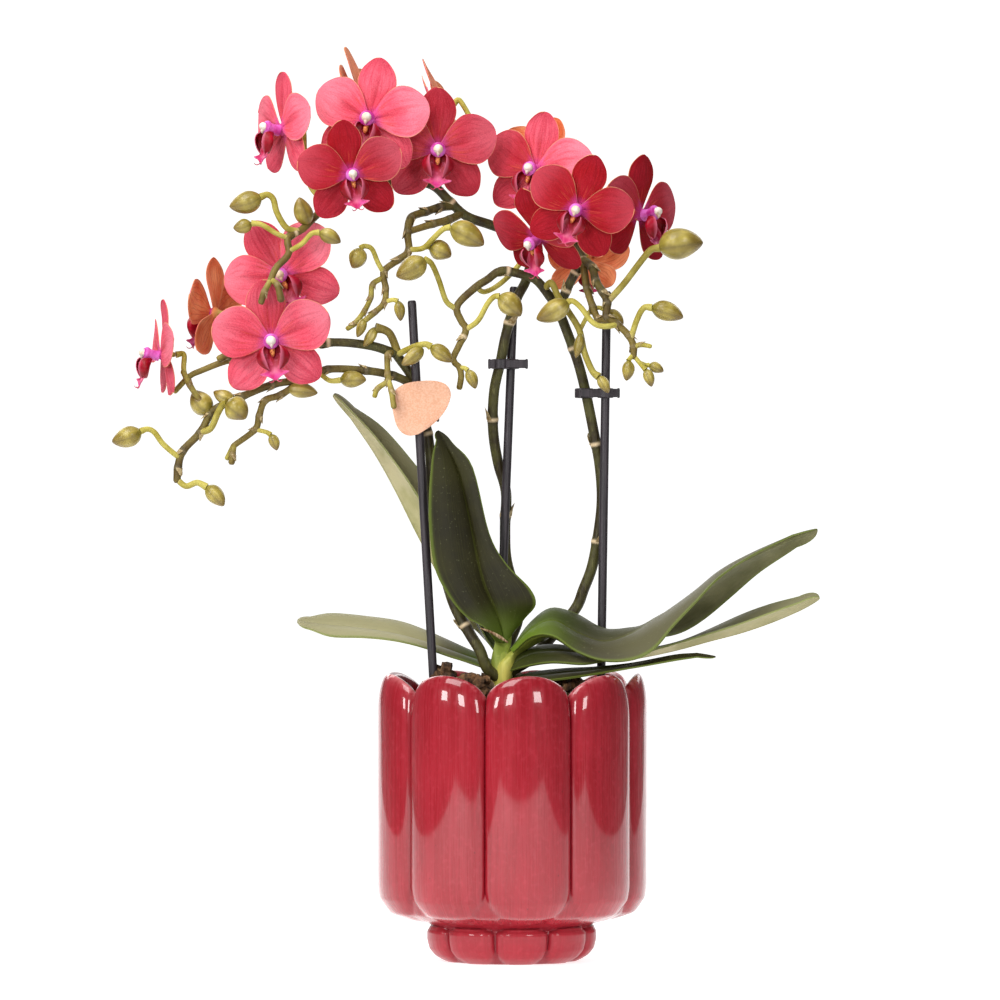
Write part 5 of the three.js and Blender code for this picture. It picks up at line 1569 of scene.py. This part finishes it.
# %% Bud finish
bud_skin = Finish("bud_skin", specular_ior_level=0.45, coat_weight=0.2, coat_roughness=0.2)
along, seam, rib = bud_skin.marks("along", "seam", "rib")
freckles = bud_skin.noise(900.0, 3.0)
wash_and_highlight = bud_skin.noise(150.0, 3.0)
green = bud_skin.mix(bud_skin.step(wash_and_highlight, 0.35, 0.65), (140, 122, 42), (190, 172, 78))
# the pale patches are painted highlights
green = bud_skin.mix(bud_skin.step(wash_and_highlight, 0.56, 0.74) * 0.6, green, (236, 220, 160))
green = bud_skin.mix(bud_skin.step(along, 0.45, 1.0) * 0.7, green, (112, 82, 30))
green = bud_skin.mix((1 - bud_skin.step(along, 0.0, 0.3)) * 0.5, green, (112, 110, 30))
green = bud_skin.mix((1 - rib) * bud_skin.step(wash_and_highlight, 0.3, 0.7) * 0.4, green, (124, 100, 36))
green = bud_skin.mix(seam * 0.6, green, (92, 76, 26))
green = bud_skin.mix(bud_skin.step(freckles, 0.6, 0.75) * 0.15, green, (222, 212, 140))
bud_skin.set("Base Color", green)
bud_skin.set("Roughness", 0.34 + 0.15 * wash_and_highlight)
bud_skin.bump(freckles * 0.12 + wash_and_highlight - seam * 0.6 + rib * 0.6, 0.3, 0.0004)
print("bud nodes:", len(bud_skin.tree.nodes))

# %% Buds
BUD_SIDES = 36
BUD_PROFILE = spline([(0.0, 0.28), (0.05, 0.5), (0.16, 0.8), (0.3, 0.97), (0.45, 1.0), (0.62, 0.9),
                      (0.78, 0.68), (0.9, 0.42), (0.97, 0.2), (1.0, 0.03)], 3)


def add_bud(shape, radius, base, tip):
    """An egg with three seams and a blunt point."""
    base = np.array(base, float)
    tip = np.array(tip, float)
    share = BUD_PROFILE[:, :1]
    turns = turns_of(BUD_SIDES)
    seam = np.exp(-(np.abs(np.angle(np.exp(3j * turns))) / 0.5) ** 2)
    rib = 0.5 + 0.5 * np.cos(12 * turns + 0.6)
    fullness = np.sin(math.pi * np.minimum(1, share * 1.1))
    radii = radius * BUD_PROFILE[:, 1:] * (1.02 - (0.07 * seam - 0.02 * rib) * fullness)
    bend = unit(np.cross(tip - base, (0, 1, 0.2))) * radius * 0.12
    path = base + share * (tip - base) + np.sin(math.pi * share) * bend
    points, faces = tube(path, radii, BUD_SIDES)
    seam, rib = (np.concatenate([[0], np.tile(mark, len(path)), [0]]) for mark in (seam, rib))
    shape.add(points, faces, finish=1, along=ringed(share[:, 0], BUD_SIDES), seam=seam, rib=rib)


print("rings on a bud:", len(BUD_PROFILE))

# %% Bracts
def run_of(path):
    """How far along the path each of its points lies."""
    return np.concatenate([[0], np.cumsum(np.linalg.norm(np.diff(path, axis=0), axis=1))])


def point_at(path, way, distance):
    """The point, or points, that far along a path."""
    return np.stack([np.interp(distance, way, values) for values in path.T], axis=-1)


def add_bract(shape, path, way, node, radius, length, turn):
    """A small scale that clasps a node and points along the stem."""
    here = point_at(path, way, node)
    tangent = unit(point_at(path, way, min(node + 2, way[-1])) - here)
    side = unit(np.cross(tangent, (0.2, 1, 0.3)))
    out = math.cos(turn) * side + math.sin(turn) * np.cross(tangent, side)
    wide = np.cross(tangent, out)
    u = np.linspace(-1, 1, 5)[None, :, None]
    v = np.linspace(0, 1, 5)[:, None, None]
    angle = u * 1.25 * (1 - v ** 1.5)
    spread = radius * (1.06 + 0.35 * v ** 2)
    middle = here + tangent * length * v + spread * (np.cos(angle) * out + np.sin(angle) * wide)
    points, faces, _ = blade(middle, 0.16)
    shape.add(points, faces, finish=2)


print("halfway along a test path:", point_at(np.eye(3)[:2], [0, 1], 0.5))

# %% Stems
STEM_SIDES = 12
CURVE_STEPS = 12
PLUMP = 1.12  # the swell of living tissue over the CAD's faceted stems
MAIN_RADIUS = 1.85  # a stem that starts thicker than this is a main one
NODE_RINGS = np.array([-2.4, -1.3, -0.8, -0.4, 0, 0.4, 0.8, 1.3, 2.4])


def stem_nodes(way, is_main):
    """Where the nodes lie: evenly on a long main stem, and at the bends of a branch."""
    if is_main and way[-1] > 60:
        return np.arange(30, way[-1] - 8, 43)
    return way[CURVE_STEPS:-1:CURVE_STEPS]


def add_stem(shape, rng, start_radius, end_radius, points):
    """A stem that swells at its nodes, with a dry ring and a bract at each."""
    is_main = start_radius > MAIN_RADIUS
    path = spline(points, CURVE_STEPS)
    way = run_of(path)
    nodes = stem_nodes(way, is_main)
    stations = np.concatenate([np.arange(0, way[-1], 2.2), (nodes[:, None] + NODE_RINGS).ravel(), way[-1:]])
    stations = np.unique(np.clip(stations, 0, way[-1]))
    path = point_at(path, way, stations)
    radii = np.interp(stations, [0, way[-1]], [start_radius, end_radius]) * PLUMP
    ring = np.zeros(len(path))
    for node in nodes:
        radii = radii * (1 + 0.14 * np.exp(-((stations - node) / 1.4) ** 2))
        ring = np.maximum(ring, np.exp(-((stations - node) / 0.8) ** 4))
    ring = ring * (0.9 if is_main else 0.12)
    age = np.clip((radii - 0.95) / 1.1, 0, 1)

    caps = unit(path[[0, -1]] - path[[1, -2]]) * radii[[0, -1], None] * 0.6
    path = np.vstack([path[0] + caps[0], path, path[-1] + caps[1]])
    radii = np.concatenate([radii[:1] * 0.6, radii, radii[-1:] * 0.6])
    age, ring = (ringed(np.pad(mark, 1, "edge"), STEM_SIDES) for mark in (age, ring))
    shape.add(*tube(path, radii, STEM_SIDES), age=age, ring=ring)
    way = run_of(path)
    for index, node in enumerate(nodes + way[1]):
        radius = np.interp(node, way, radii)
        turn = math.pi * index + rng.uniform(-0.6, 0.6)
        add_bract(shape, path, way, node, radius, radius * rng.uniform(1.6, 2.3), turn)


test = Shape()
add_stem(test, random.Random(1), 2, 1, [(0, 0, 0), (0, 0, 50), (0, 0, 100)])
print("points on a test stem:", test.count)

# %% Stalks
def add_twig(shape, radius, points):
    """A thin stalk that swells towards what it carries."""
    path = spline(points, 6)
    steps = np.arange(len(path))
    swell = 1 + 0.25 * np.exp(-(steps[::-1] / 3) ** 2)
    age = np.full(len(path), min(1.0, max(0.0, (radius - 1.0) / 1.1)))
    ring = np.exp(-(steps / 1.5) ** 2) * 0.35
    points, faces = tube(path, radius * PLUMP * swell, STEM_SIDES)
    shape.add(points, faces, age=ringed(age * 0.7, STEM_SIDES), ring=ringed(ring, STEM_SIDES))


test = Shape()
add_twig(test, 1, [(0, 0, 0), (0, 0, 10)])
print("points on a test stalk:", test.count)

# %% Spikes
STUB_LENGTH = 6  # from a bloom's middle to the end of its stub
PEDICEL_LEAD = 4  # how far a pedicel runs straight behind the stub
PEDICEL_SEAT = 0.3
PEDICEL_RADIUS = 1.05


class Spike:
    """A spike's stems, buds and bracts, gathered in one shape."""

    def __init__(self, seed):
        self.shape = Shape()
        self.rng = random.Random(seed)
        self.buds = 0

    def stem(self, start_radius, end_radius, *points):
        add_stem(self.shape, self.rng, start_radius, end_radius, points)

    def bud(self, radius, base, tip):
        add_bud(self.shape, radius, base, tip)
        self.buds += 1

    def budded(self, stalk_radius, bud_radius, *points):
        """A stalk with a bud. The last point is the bud's tip, and the one before it its base."""
        add_twig(self.shape, stalk_radius, points[:-1])
        self.bud(bud_radius, *points[-2:])

    def pedicel(self, number, *route):
        """The stalk of a bloom, from the points of its route to the bloom's stub."""
        behind = np.array([(0, 0, -STUB_LENGTH - PEDICEL_LEAD), (0, 0, -STUB_LENGTH - PEDICEL_SEAT)])
        add_twig(self.shape, PEDICEL_RADIUS, np.vstack([route, stood(behind, BLOOMS[number - 1])]))

    def build(self, name):
        self.shape.build(name + "_stems_buds", [stem_skin, bud_skin, bract_skin], "stem", name, sharp=60)
        print(name, "has", self.buds, "buds and", made[name + "_stems_buds"], "triangles")


print("a pedicel's radius:", PEDICEL_RADIUS)

# %% Left spike
left = Spike(3)
left.stem(2.2, 1.9, (-4, -5, 122), (-10.4, -8, 127.2), (-13.5, -8, 135), (-18.5, -6, 143.2),
    (-25.2, -3.5, 156), (-30.5, 0, 176), (-34, 0.5, 198), (-35.2, 0, 221.3), (-37.8, 0, 236),
    (-42.1, 0, 251.7), (-49.9, -2, 263.4))
left.stem(1.9, 1.1, (-49.9, -2, 263.4), (-61.2, -4, 266.9), (-78.6, -5, 268.2), (-100.3, -6, 265.2),
    (-121.1, -6, 260.8), (-134.1, -6, 256), (-139.3, -6, 253.5), (-145.5, -7, 247))
left.stem(1.7, 1.2, (-42.1, 0, 250), (-51.2, -3, 253.9), (-62.9, -6, 256), (-79.4, -8, 256.5),
    (-89.4, -9, 252), (-99.4, -9, 245.6), (-106.3, -10, 243), (-108.9, -10, 236.5),
    (-110.7, -10, 230.5), (-119.8, -11, 223.5))
left.stem(1.2, 1, (-119.8, -11, 223.5), (-122.8, -11, 217.9))
left.stem(1.1, 1.3, (-119.8, -11, 223.5), (-120.3, -13, 219.5), (-120.7, -13.5, 216.1))
left.budded(0.9, 2.3, (-110.7, -10, 230.5), (-106, -11, 229.4), (-103.8, -11.5, 228.2),
    (-101.2, -12, 221.4))
left.stem(1.5, 1.5, (-89.4, -9, 252), (-103, -8, 250), (-116.3, -8, 244.8), (-126.7, -8, 240),
    (-130.2, -8, 237), (-134.5, -8, 229.2), (-141.9, -8, 221.3), (-144.1, -8, 214), (-144.5, -8, 208.3))
left.budded(1.2, 3.6, (-144.5, -8, 208.9), (-140.6, -8.5, 206), (-135.8, -9, 207.5),
    (-131.6, -9.5, 205.6), (-124.2, -10, 197.4))
left.budded(1.1, 4.4, (-143, -8, 218.4), (-145.4, -9, 219.8), (-150.6, -10, 224.4),
    (-154.1, -11, 229.2), (-157.1, -11.5, 230.6), (-160.2, -12, 229.7), (-172.4, -12.5, 225.2))
left.budded(1.3, 5.2, (-134.5, -8, 229.2), (-129.8, -11, 231), (-126.7, -13, 237.4),
    (-124.3, -14, 241.4), (-122.6, -15, 242), (-114.5, -16, 235))
left.bud(4.8, (-130.4, -7, 238), (-137.4, -4, 247.4))
left.bud(3.1, (-119.6, -8, 243), (-128.8, -6.5, 247))
left.stem(1.2, 1.1, (-131.2, -8, 238.5), (-134.5, -9, 243), (-138.9, -9, 249.6), (-141.9, -8, 255.6))
left.pedicel(13, (-134.5, -9, 243), (-138.9, -9, 249.6), (-141.6, -7, 256))
left.budded(1, 3.6, (-83.2, -8.2, 255.2), (-78.6, -9, 251.7), (-73.8, -9, 251.8), (-62.6, -9.5, 251.9))
left.bud(3.3, (-96.2, -9, 247.8), (-83.6, -10.5, 246.2))
left.stem(1.4, 1.2, (-121.1, -6, 260.8), (-123, -8.5, 262.4), (-126.5, -9, 261.2))
left.budded(1.6, 2.3, (-48, -1.5, 260.5), (-51.6, -3, 270.4), (-54.3, -4, 273.4), (-58.8, -5, 274.6),
    (-63.8, -6, 266.4))
left.stem(1.3, 1, (-51.5, -2.5, 264), (-53.4, -7, 262.5), (-53.4, -9, 254.8), (-53, -9.5, 251.7),
    (-57.7, -10, 248.2), (-59, -10, 244.8))
left.stem(1, 1.2, (-53.2, -9.3, 252.6), (-51.8, -11.5, 247.5), (-50.6, -12.5, 240.2))
left.budded(1.2, 3.3, (-49, -2, 263), (-46, -8, 264.6), (-41.2, -12, 266.5), (-36.9, -12.5, 267.3),
    (-34.6, -12.5, 266.2), (-25.4, -13, 259.6))
left.bud(3, (-38.2, -13, 265.6), (-47.2, -14.5, 258.4))
left.pedicel(10, (-84, -5.3, 267.8), (-88, 5, 274), (-96, 12, 288))
left.pedicel(11, (-96, -5.8, 265.8), (-102, -10, 264.4))
left.pedicel(12, (-117, -6, 261.7), (-116.5, -4.5, 272))
left.build("spike_left")

# %% Middle spike
middle = Spike(5)
middle.stem(2.2, 1.9, (-3, -1, 128), (-1, 8, 137), (3, 15, 148), (2, 18.2, 159), (-2, 18.7, 174),
    (-2.6, 18.7, 188), (-2.2, 18.7, 203.5), (-5.6, 18, 216), (-7.8, 15, 230.5), (-7.4, 12, 247),
    (-4.6, 10.2, 260), (-2.2, 9.2, 272), (2.2, 9.2, 286.9), (6.5, 13.5, 295.6), (8.4, 18.5, 305),
    (5.6, 20.5, 312.5), (0, 20.5, 317))
middle.stem(2, 1.3, (0, 20.5, 317), (-9.5, 19, 320.3), (-19.5, 16, 323.8), (-26.9, 14.5, 330.3),
    (-33.4, 14.5, 336.6), (-42, 14.5, 339), (-55, 10, 338), (-68, 5, 334.6), (-79.4, 0, 327.7),
    (-86, -8, 321.4), (-90.3, -13, 316.8), (-96.3, -17, 313.3), (-95.8, -21, 306),
    (-101.1, -24.5, 299.9), (-103.4, -27, 294.3))
middle.stem(1.1, 1.3, (-103.2, -26.8, 294.8), (-106, -29, 289.4), (-107.4, -29.5, 284.9))
middle.stem(1, 1.5, (-103.2, -26.8, 294.8), (-100.4, -29, 292.4), (-98.8, -29.8, 286))
middle.budded(1, 3.1, (-96.5, -17.4, 313), (-101.5, -20, 315), (-107.5, -21, 318.6),
    (-112, -21.5, 319.2), (-119.6, -23, 317))
middle.budded(1, 3.2, (-95.8, -20.5, 307), (-90, -22, 310.4), (-86, -22, 314.6), (-82.4, -22.5, 315.2),
    (-73.4, -23, 310.8))
middle.budded(1.2, 4.7, (-92, -14.5, 316), (-97, -17, 317.5), (-101, -18, 324), (-102.5, -18.5, 329.6),
    (-105, -19, 331.6), (-108, -19, 330.6), (-121.4, -20, 326.4))
middle.bud(4, (-87.6, -11, 319.4), (-91.5, -15, 330.6))
middle.stem(1.3, 1.1, (-70, 4, 334), (-73, 4, 345), (-77, 6, 352), (-78.6, 7, 356.6))
middle.stem(1.7, 1.1, (-24.5, 15, 328.2), (-31, 11.5, 327.4), (-37, 8.5, 325.4), (-43.4, 4, 322.6),
    (-44.9, 0, 316), (-44.4, -3, 308.1), (-48.6, -4, 304.2), (-55, -5, 299), (-54.3, -5.5, 291.6),
    (-54.8, -6, 285.6), (-59, -7, 281.2), (-63.4, -8, 277.4))
middle.stem(1.1, 1, (-54.8, -5, 296.6), (-59.9, -5, 293.4), (-60.8, -4.5, 287.7), (-63.4, -4, 282.1),
    (-67.7, -4, 276.5), (-70.9, -4, 274.2))
middle.stem(1.7, 1.3, (-21.5, 15.5, 325), (-27, 10, 322), (-33.9, 6, 320), (-44.6, 0.5, 316.4))
middle.budded(1, 3.9, (-55.2, -5, 298.4), (-57.7, -7, 302.9), (-60.2, -8.5, 308.6), (-63.4, -9, 309.8),
    (-65.2, -9.4, 308.8), (-68.6, -10, 300.2))
middle.budded(1.1, 5.2, (-44.6, -2.8, 308.4), (-38.2, -6, 309), (-33.9, -8, 312.9), (-29.5, -9, 317),
    (-26, -9.5, 318), (-11.8, -10.5, 310.2))
middle.budded(1, 4.3, (-38, -6, 309.2), (-36.2, -5, 309.6), (-35.2, -4.5, 309.6), (-26, -4, 305.4))
middle.budded(0.9, 2.3, (-54.8, -6, 285.8), (-51, -7, 286.6), (-49, -7.5, 286), (-47.8, -8, 277.4))
middle.bud(2.1, (-63.6, -8, 278.4), (-66.6, -8.5, 270.4))
middle.pedicel(1, (-79.4, 0, 327.7), (-87, 2, 336), (-89.5, 4, 348))
middle.pedicel(2, (-55, 10, 338), (-54, 13, 350), (-58, 12, 361))
middle.pedicel(3, (-67, 5.4, 334.8), (-69, -4, 337))
middle.pedicel(4, (-36, 14.5, 337), (-33, 19, 345))
middle.pedicel(14, (-60, 8, 336.8), (-54, 22, 348), (-50, 29, 362))
middle.pedicel(15, (-40, 14.5, 338.4), (-25, 22, 346), (-16, 32, 360))
middle.build("spike_middle")

# %% Right spike
right = Spike(9)
right.stem(2.3, 2, (0, -2, 126), (9, 4, 131.5), (19, 10, 142), (28.2, 13, 152.8), (31.6, 13.2, 161),
    (35.6, 13.2, 172), (38.7, 13.2, 189.7), (39.6, 13.2, 202), (38.6, 13.2, 215.3), (36.6, 12.2, 226.5),
    (34.3, 11.4, 238.3), (31.8, 10.8, 250), (28.8, 10.3, 261), (24.3, 10, 273.4), (20.8, 10, 282.5))
right.stem(1.9, 1.2, (20.8, 10, 282.5), (16.1, 8.6, 289.5), (10.4, 6.6, 296), (2.2, 5.4, 298.6),
    (-4.8, 4, 299.5), (-10.4, 3, 295.6), (-15.2, 2, 292.5), (-23.4, 0.5, 284.3), (-21.7, 0, 277.8),
    (-19.5, 0, 273.9), (-22.6, -1, 266.9), (-25.2, -1.5, 260.8), (-22.6, -2, 257.8), (-21.6, -2, 253.9),
    (-22.4, -2, 248.6))
right.budded(0.9, 2.5, (-22.4, -2, 257.4), (-20.2, -3, 257.2), (-18.8, -3.4, 256.2), (-15.4, -4, 248.2))
right.budded(1.1, 5, (-24.2, 0.5, 283), (-28.2, -2, 286.4), (-31.2, -4.5, 295), (-34.3, -10, 302),
    (-37.4, -12.2, 304), (-49.6, -13.5, 296.6))
right.budded(1.1, 4.8, (-19.5, 0, 273.9), (-14.3, -2.5, 277.8), (-10.4, -4, 284.7), (-7.4, -4.5, 288),
    (-5, -5, 288.2), (4.2, -6, 279.6))
right.stem(1.9, 1.4, (20.8, 10, 282.5), (24, 10, 291), (28, 9.5, 299), (31, 8, 304.5),
    (27.5, 12, 312.5), (22, 16.5, 323), (17.6, 19, 333))
right.stem(1.7, 1.3, (31, 8, 304.5), (35.2, 1, 301), (36.7, -2, 295.1), (39.5, -4, 290.3),
    (41.7, -5, 285.6), (41.4, -5, 279.4), (46, -5, 276), (50.8, -6, 271.3), (53, -6, 266.5),
    (53, -6, 261.7))
right.budded(1.3, 6.6, (42.6, -4.8, 286.6), (49, -7, 293.8), (55.6, -9, 302.5), (60.3, -10, 308),
    (64.2, -10.5, 309), (83, -11, 311.2))
right.budded(1.2, 4.2, (51.8, -6, 269.6), (54.3, -8, 277.6), (57.3, -9, 283), (61, -9.5, 283.2),
    (74.4, -10, 278.8))
right.stem(1, 0.9, (53, -6, 266), (56, -7, 267.2), (60.3, -8, 266.5))
right.budded(0.9, 2.7, (53, -6, 263), (51.4, -7, 261.2), (50.8, -7.4, 260.2), (49.8, -8, 251.6))
right.budded(0.9, 2.3, (53, -6, 262.6), (56.6, -6.5, 258.2), (58.2, -7, 256.4), (60.8, -7.5, 249))
right.budded(0.8, 2.3, (55.2, -6.3, 259.8), (58, -5, 258.6), (59.8, -4.7, 258.4), (66, -4, 255.6))
right.budded(1.1, 4.6, (46, -5, 276), (42.3, -8, 275.2), (37.8, -9, 275.4), (34.3, -9, 277.8),
    (30.4, -8, 283), (26.9, -7, 286), (24.6, -6, 285.8), (11, -6, 278.2))
right.budded(1.3, 2.4, (14.6, 8.2, 291.5), (17.4, 3.5, 294.4), (20.6, 2, 288), (24.3, 1, 282.6),
    (29.5, 0, 273.9), (31.7, -1, 264.3), (35.2, -2, 256), (38, -3, 253.4), (42.2, -4, 246.4))
right.bud(2.2, (30.2, -1.4, 272), (28, -2.6, 261.6))
right.stem(1.5, 1.3, (31.4, 6, 302.5), (33, 4, 292), (35.4, 1.6, 284), (37.8, -1.5, 278.6),
    (41.8, -4.6, 278))
right.budded(0.9, 2.8, (29.8, 0, 273.4), (32.4, 2, 278.6), (35, 3, 282.8), (38.6, 2, 283.4),
    (41.8, 0.8, 281.8), (48.6, -0.4, 276))
right.pedicel(5, (18.4, 18.5, 331), (17.5, 19, 338))
right.pedicel(6, (27.5, 12, 312.5), (29.5, 2, 315), (30, -9, 321))
right.pedicel(7, (30, 10, 307), (41, 17, 311), (47, 21.5, 319))
right.pedicel(8, (-15, 2, 292.3), (-11.5, 6, 290.5), (-5, 13, 294), (3, 17, 302), (11, 12.5, 313.5))
right.pedicel(9, (30.6, 8.5, 303.5), (30, 11, 307.5))
right.pedicel(16, (17.6, 19, 333), (15, 17.5, 340))
right.build("spike_right")

# %% [markdown]
# ## Studio
# The photograph was taken in front of plain white, with lamps like small windows at the height
# of the pot. A sheet of paper lies under the pot and curves up behind it. It ends a step in
# front, and beyond it the room is dim, which is why the lower half of the glaze mirrors white
# and the upper half stays deep red. A backdrop that large would hide the plant from behind, so
# the camera doesn't see it and sees a round white room instead, which lights nothing.

# %% White paper
def staged(name, points, faces, finish):
    """A part of the studio, in metres."""
    mesh = bpy.data.meshes.new(name)
    mesh.from_pydata(points, [], faces)
    mesh.materials.append(finish.material)
    part = bpy.data.objects.new(name, mesh)
    bpy.context.scene.collection.objects.link(part)
    return part


def paper_sheet(name, profile, half_width):
    """A sheet of white paper that follows a profile of Y and Z."""
    points = [(x, y, z) for y, z in profile for x in (-half_width, half_width)]
    number = np.arange(len(points)).reshape(-1, 2)
    sheet = staged(name, points, grid_faces(number), paper)
    sheet.data.shade_smooth()
    return sheet


paper = Finish("white_paper", roughness=0.9, specular_ior_level=0.1, emission_strength=0.75)
paper.set("Base Color", paper.mix(paper.noise(6.0, 2.0), (236, 236, 236), (240, 240, 240)))
paper.set("Emission Color", (255, 255, 255))

curve = []
for turn in np.linspace(0, math.pi / 2, 13):
    curve.append((1.4 + 0.9 * math.sin(turn), 0.9 - 0.9 * math.cos(turn)))
mirrored = paper_sheet("paper_in_the_glaze", [(-1.7, 0), *curve, (2.3, 3.4)], 1.2)
mirrored.visible_camera = False
mirrored.visible_diffuse = False  # bright paper all round would wash out the shade under leaves
paper_sheet("table_top", [(-0.24, 0.0002), (0.24, 0.0002)], 0.24)  # lights the foot
print("curve of the paper:", len(curve), "steps")

# %% White room
air = Finish("bright_air", roughness=0.9, specular_ior_level=0.0, emission_strength=1.0)
air.set("Base Color", (231, 231, 231))
air.set("Emission Color", air.mix(air.noise(2.0, 2.0), (254, 254, 254), (255, 255, 255)))
air.material.cycles.emission_sampling = "NONE"

ROOM_RINGS = [(6, -0.02), (7.4, 0.4), (8, 1.6), (8, 8), (5, 11)]  # radius and height
points, faces = turned([(0, -0.02), *ROOM_RINGS, (0, 12)], 64)
room = staged("white_room", points, faces, air)
for ray in ("diffuse", "glossy", "shadow", "transmission"):
    setattr(room, "visible_" + ray, False)
print("faces of the room:", len(room.data.polygons))

# %% Lamps
AIM = Vector((0, 0, 0.17))


def lamp(name, turn, rise, distance, size, power):
    """A square soft lamp at a turn to the right of the camera and a rise above level."""
    data = bpy.data.lights.new(name, "AREA")
    data.shape = "SQUARE"
    data.size = size
    data.energy = power
    thing = bpy.data.objects.new(name, data)
    turn = math.radians(turn)
    rise = math.radians(rise)
    way = Vector((math.sin(turn) * math.cos(rise), -math.cos(turn) * math.cos(rise), math.sin(rise)))
    thing.location = AIM + distance * way
    thing.rotation_mode = "QUATERNION"
    thing.rotation_quaternion = way.to_track_quat("Z", "Y")
    thing.visible_camera = False
    bpy.context.scene.collection.objects.link(thing)


# three windows for the highlights on the fingers, a wide key from the upper left that shapes
# the blooms, a little light from above, and two lamps behind for the other sides
lamp("window_far_left", -53, 11, 2.0, 0.36, 8)
lamp("window_left", -20, 11, 2.0, 0.42, 10)
lamp("window_right", 28, 11, 2.0, 0.42, 8)
lamp("soft_key", -38, 50, 1.9, 1.1, 29)
lamp("overhead", 20, 80, 1.6, 1.0, 5)
lamp("back_left", -148, 30, 2.0, 1.0, 9)
lamp("back_right", 140, 30, 2.0, 1.0, 9)

world = bpy.data.worlds.new("studio_air")
bpy.context.scene.world = world
world.use_nodes = True
background = world.node_tree.nodes["Background"]
background.inputs["Color"].default_value = (1, 1, 1, 1)
background.inputs["Strength"].default_value = 0.18
bpy.context.scene.view_settings.view_transform = "Standard"
print("lamps:", len(bpy.data.lights))

# %% Measure and finish
print("pieces:", len(made), "triangles:", sum(made.values()))
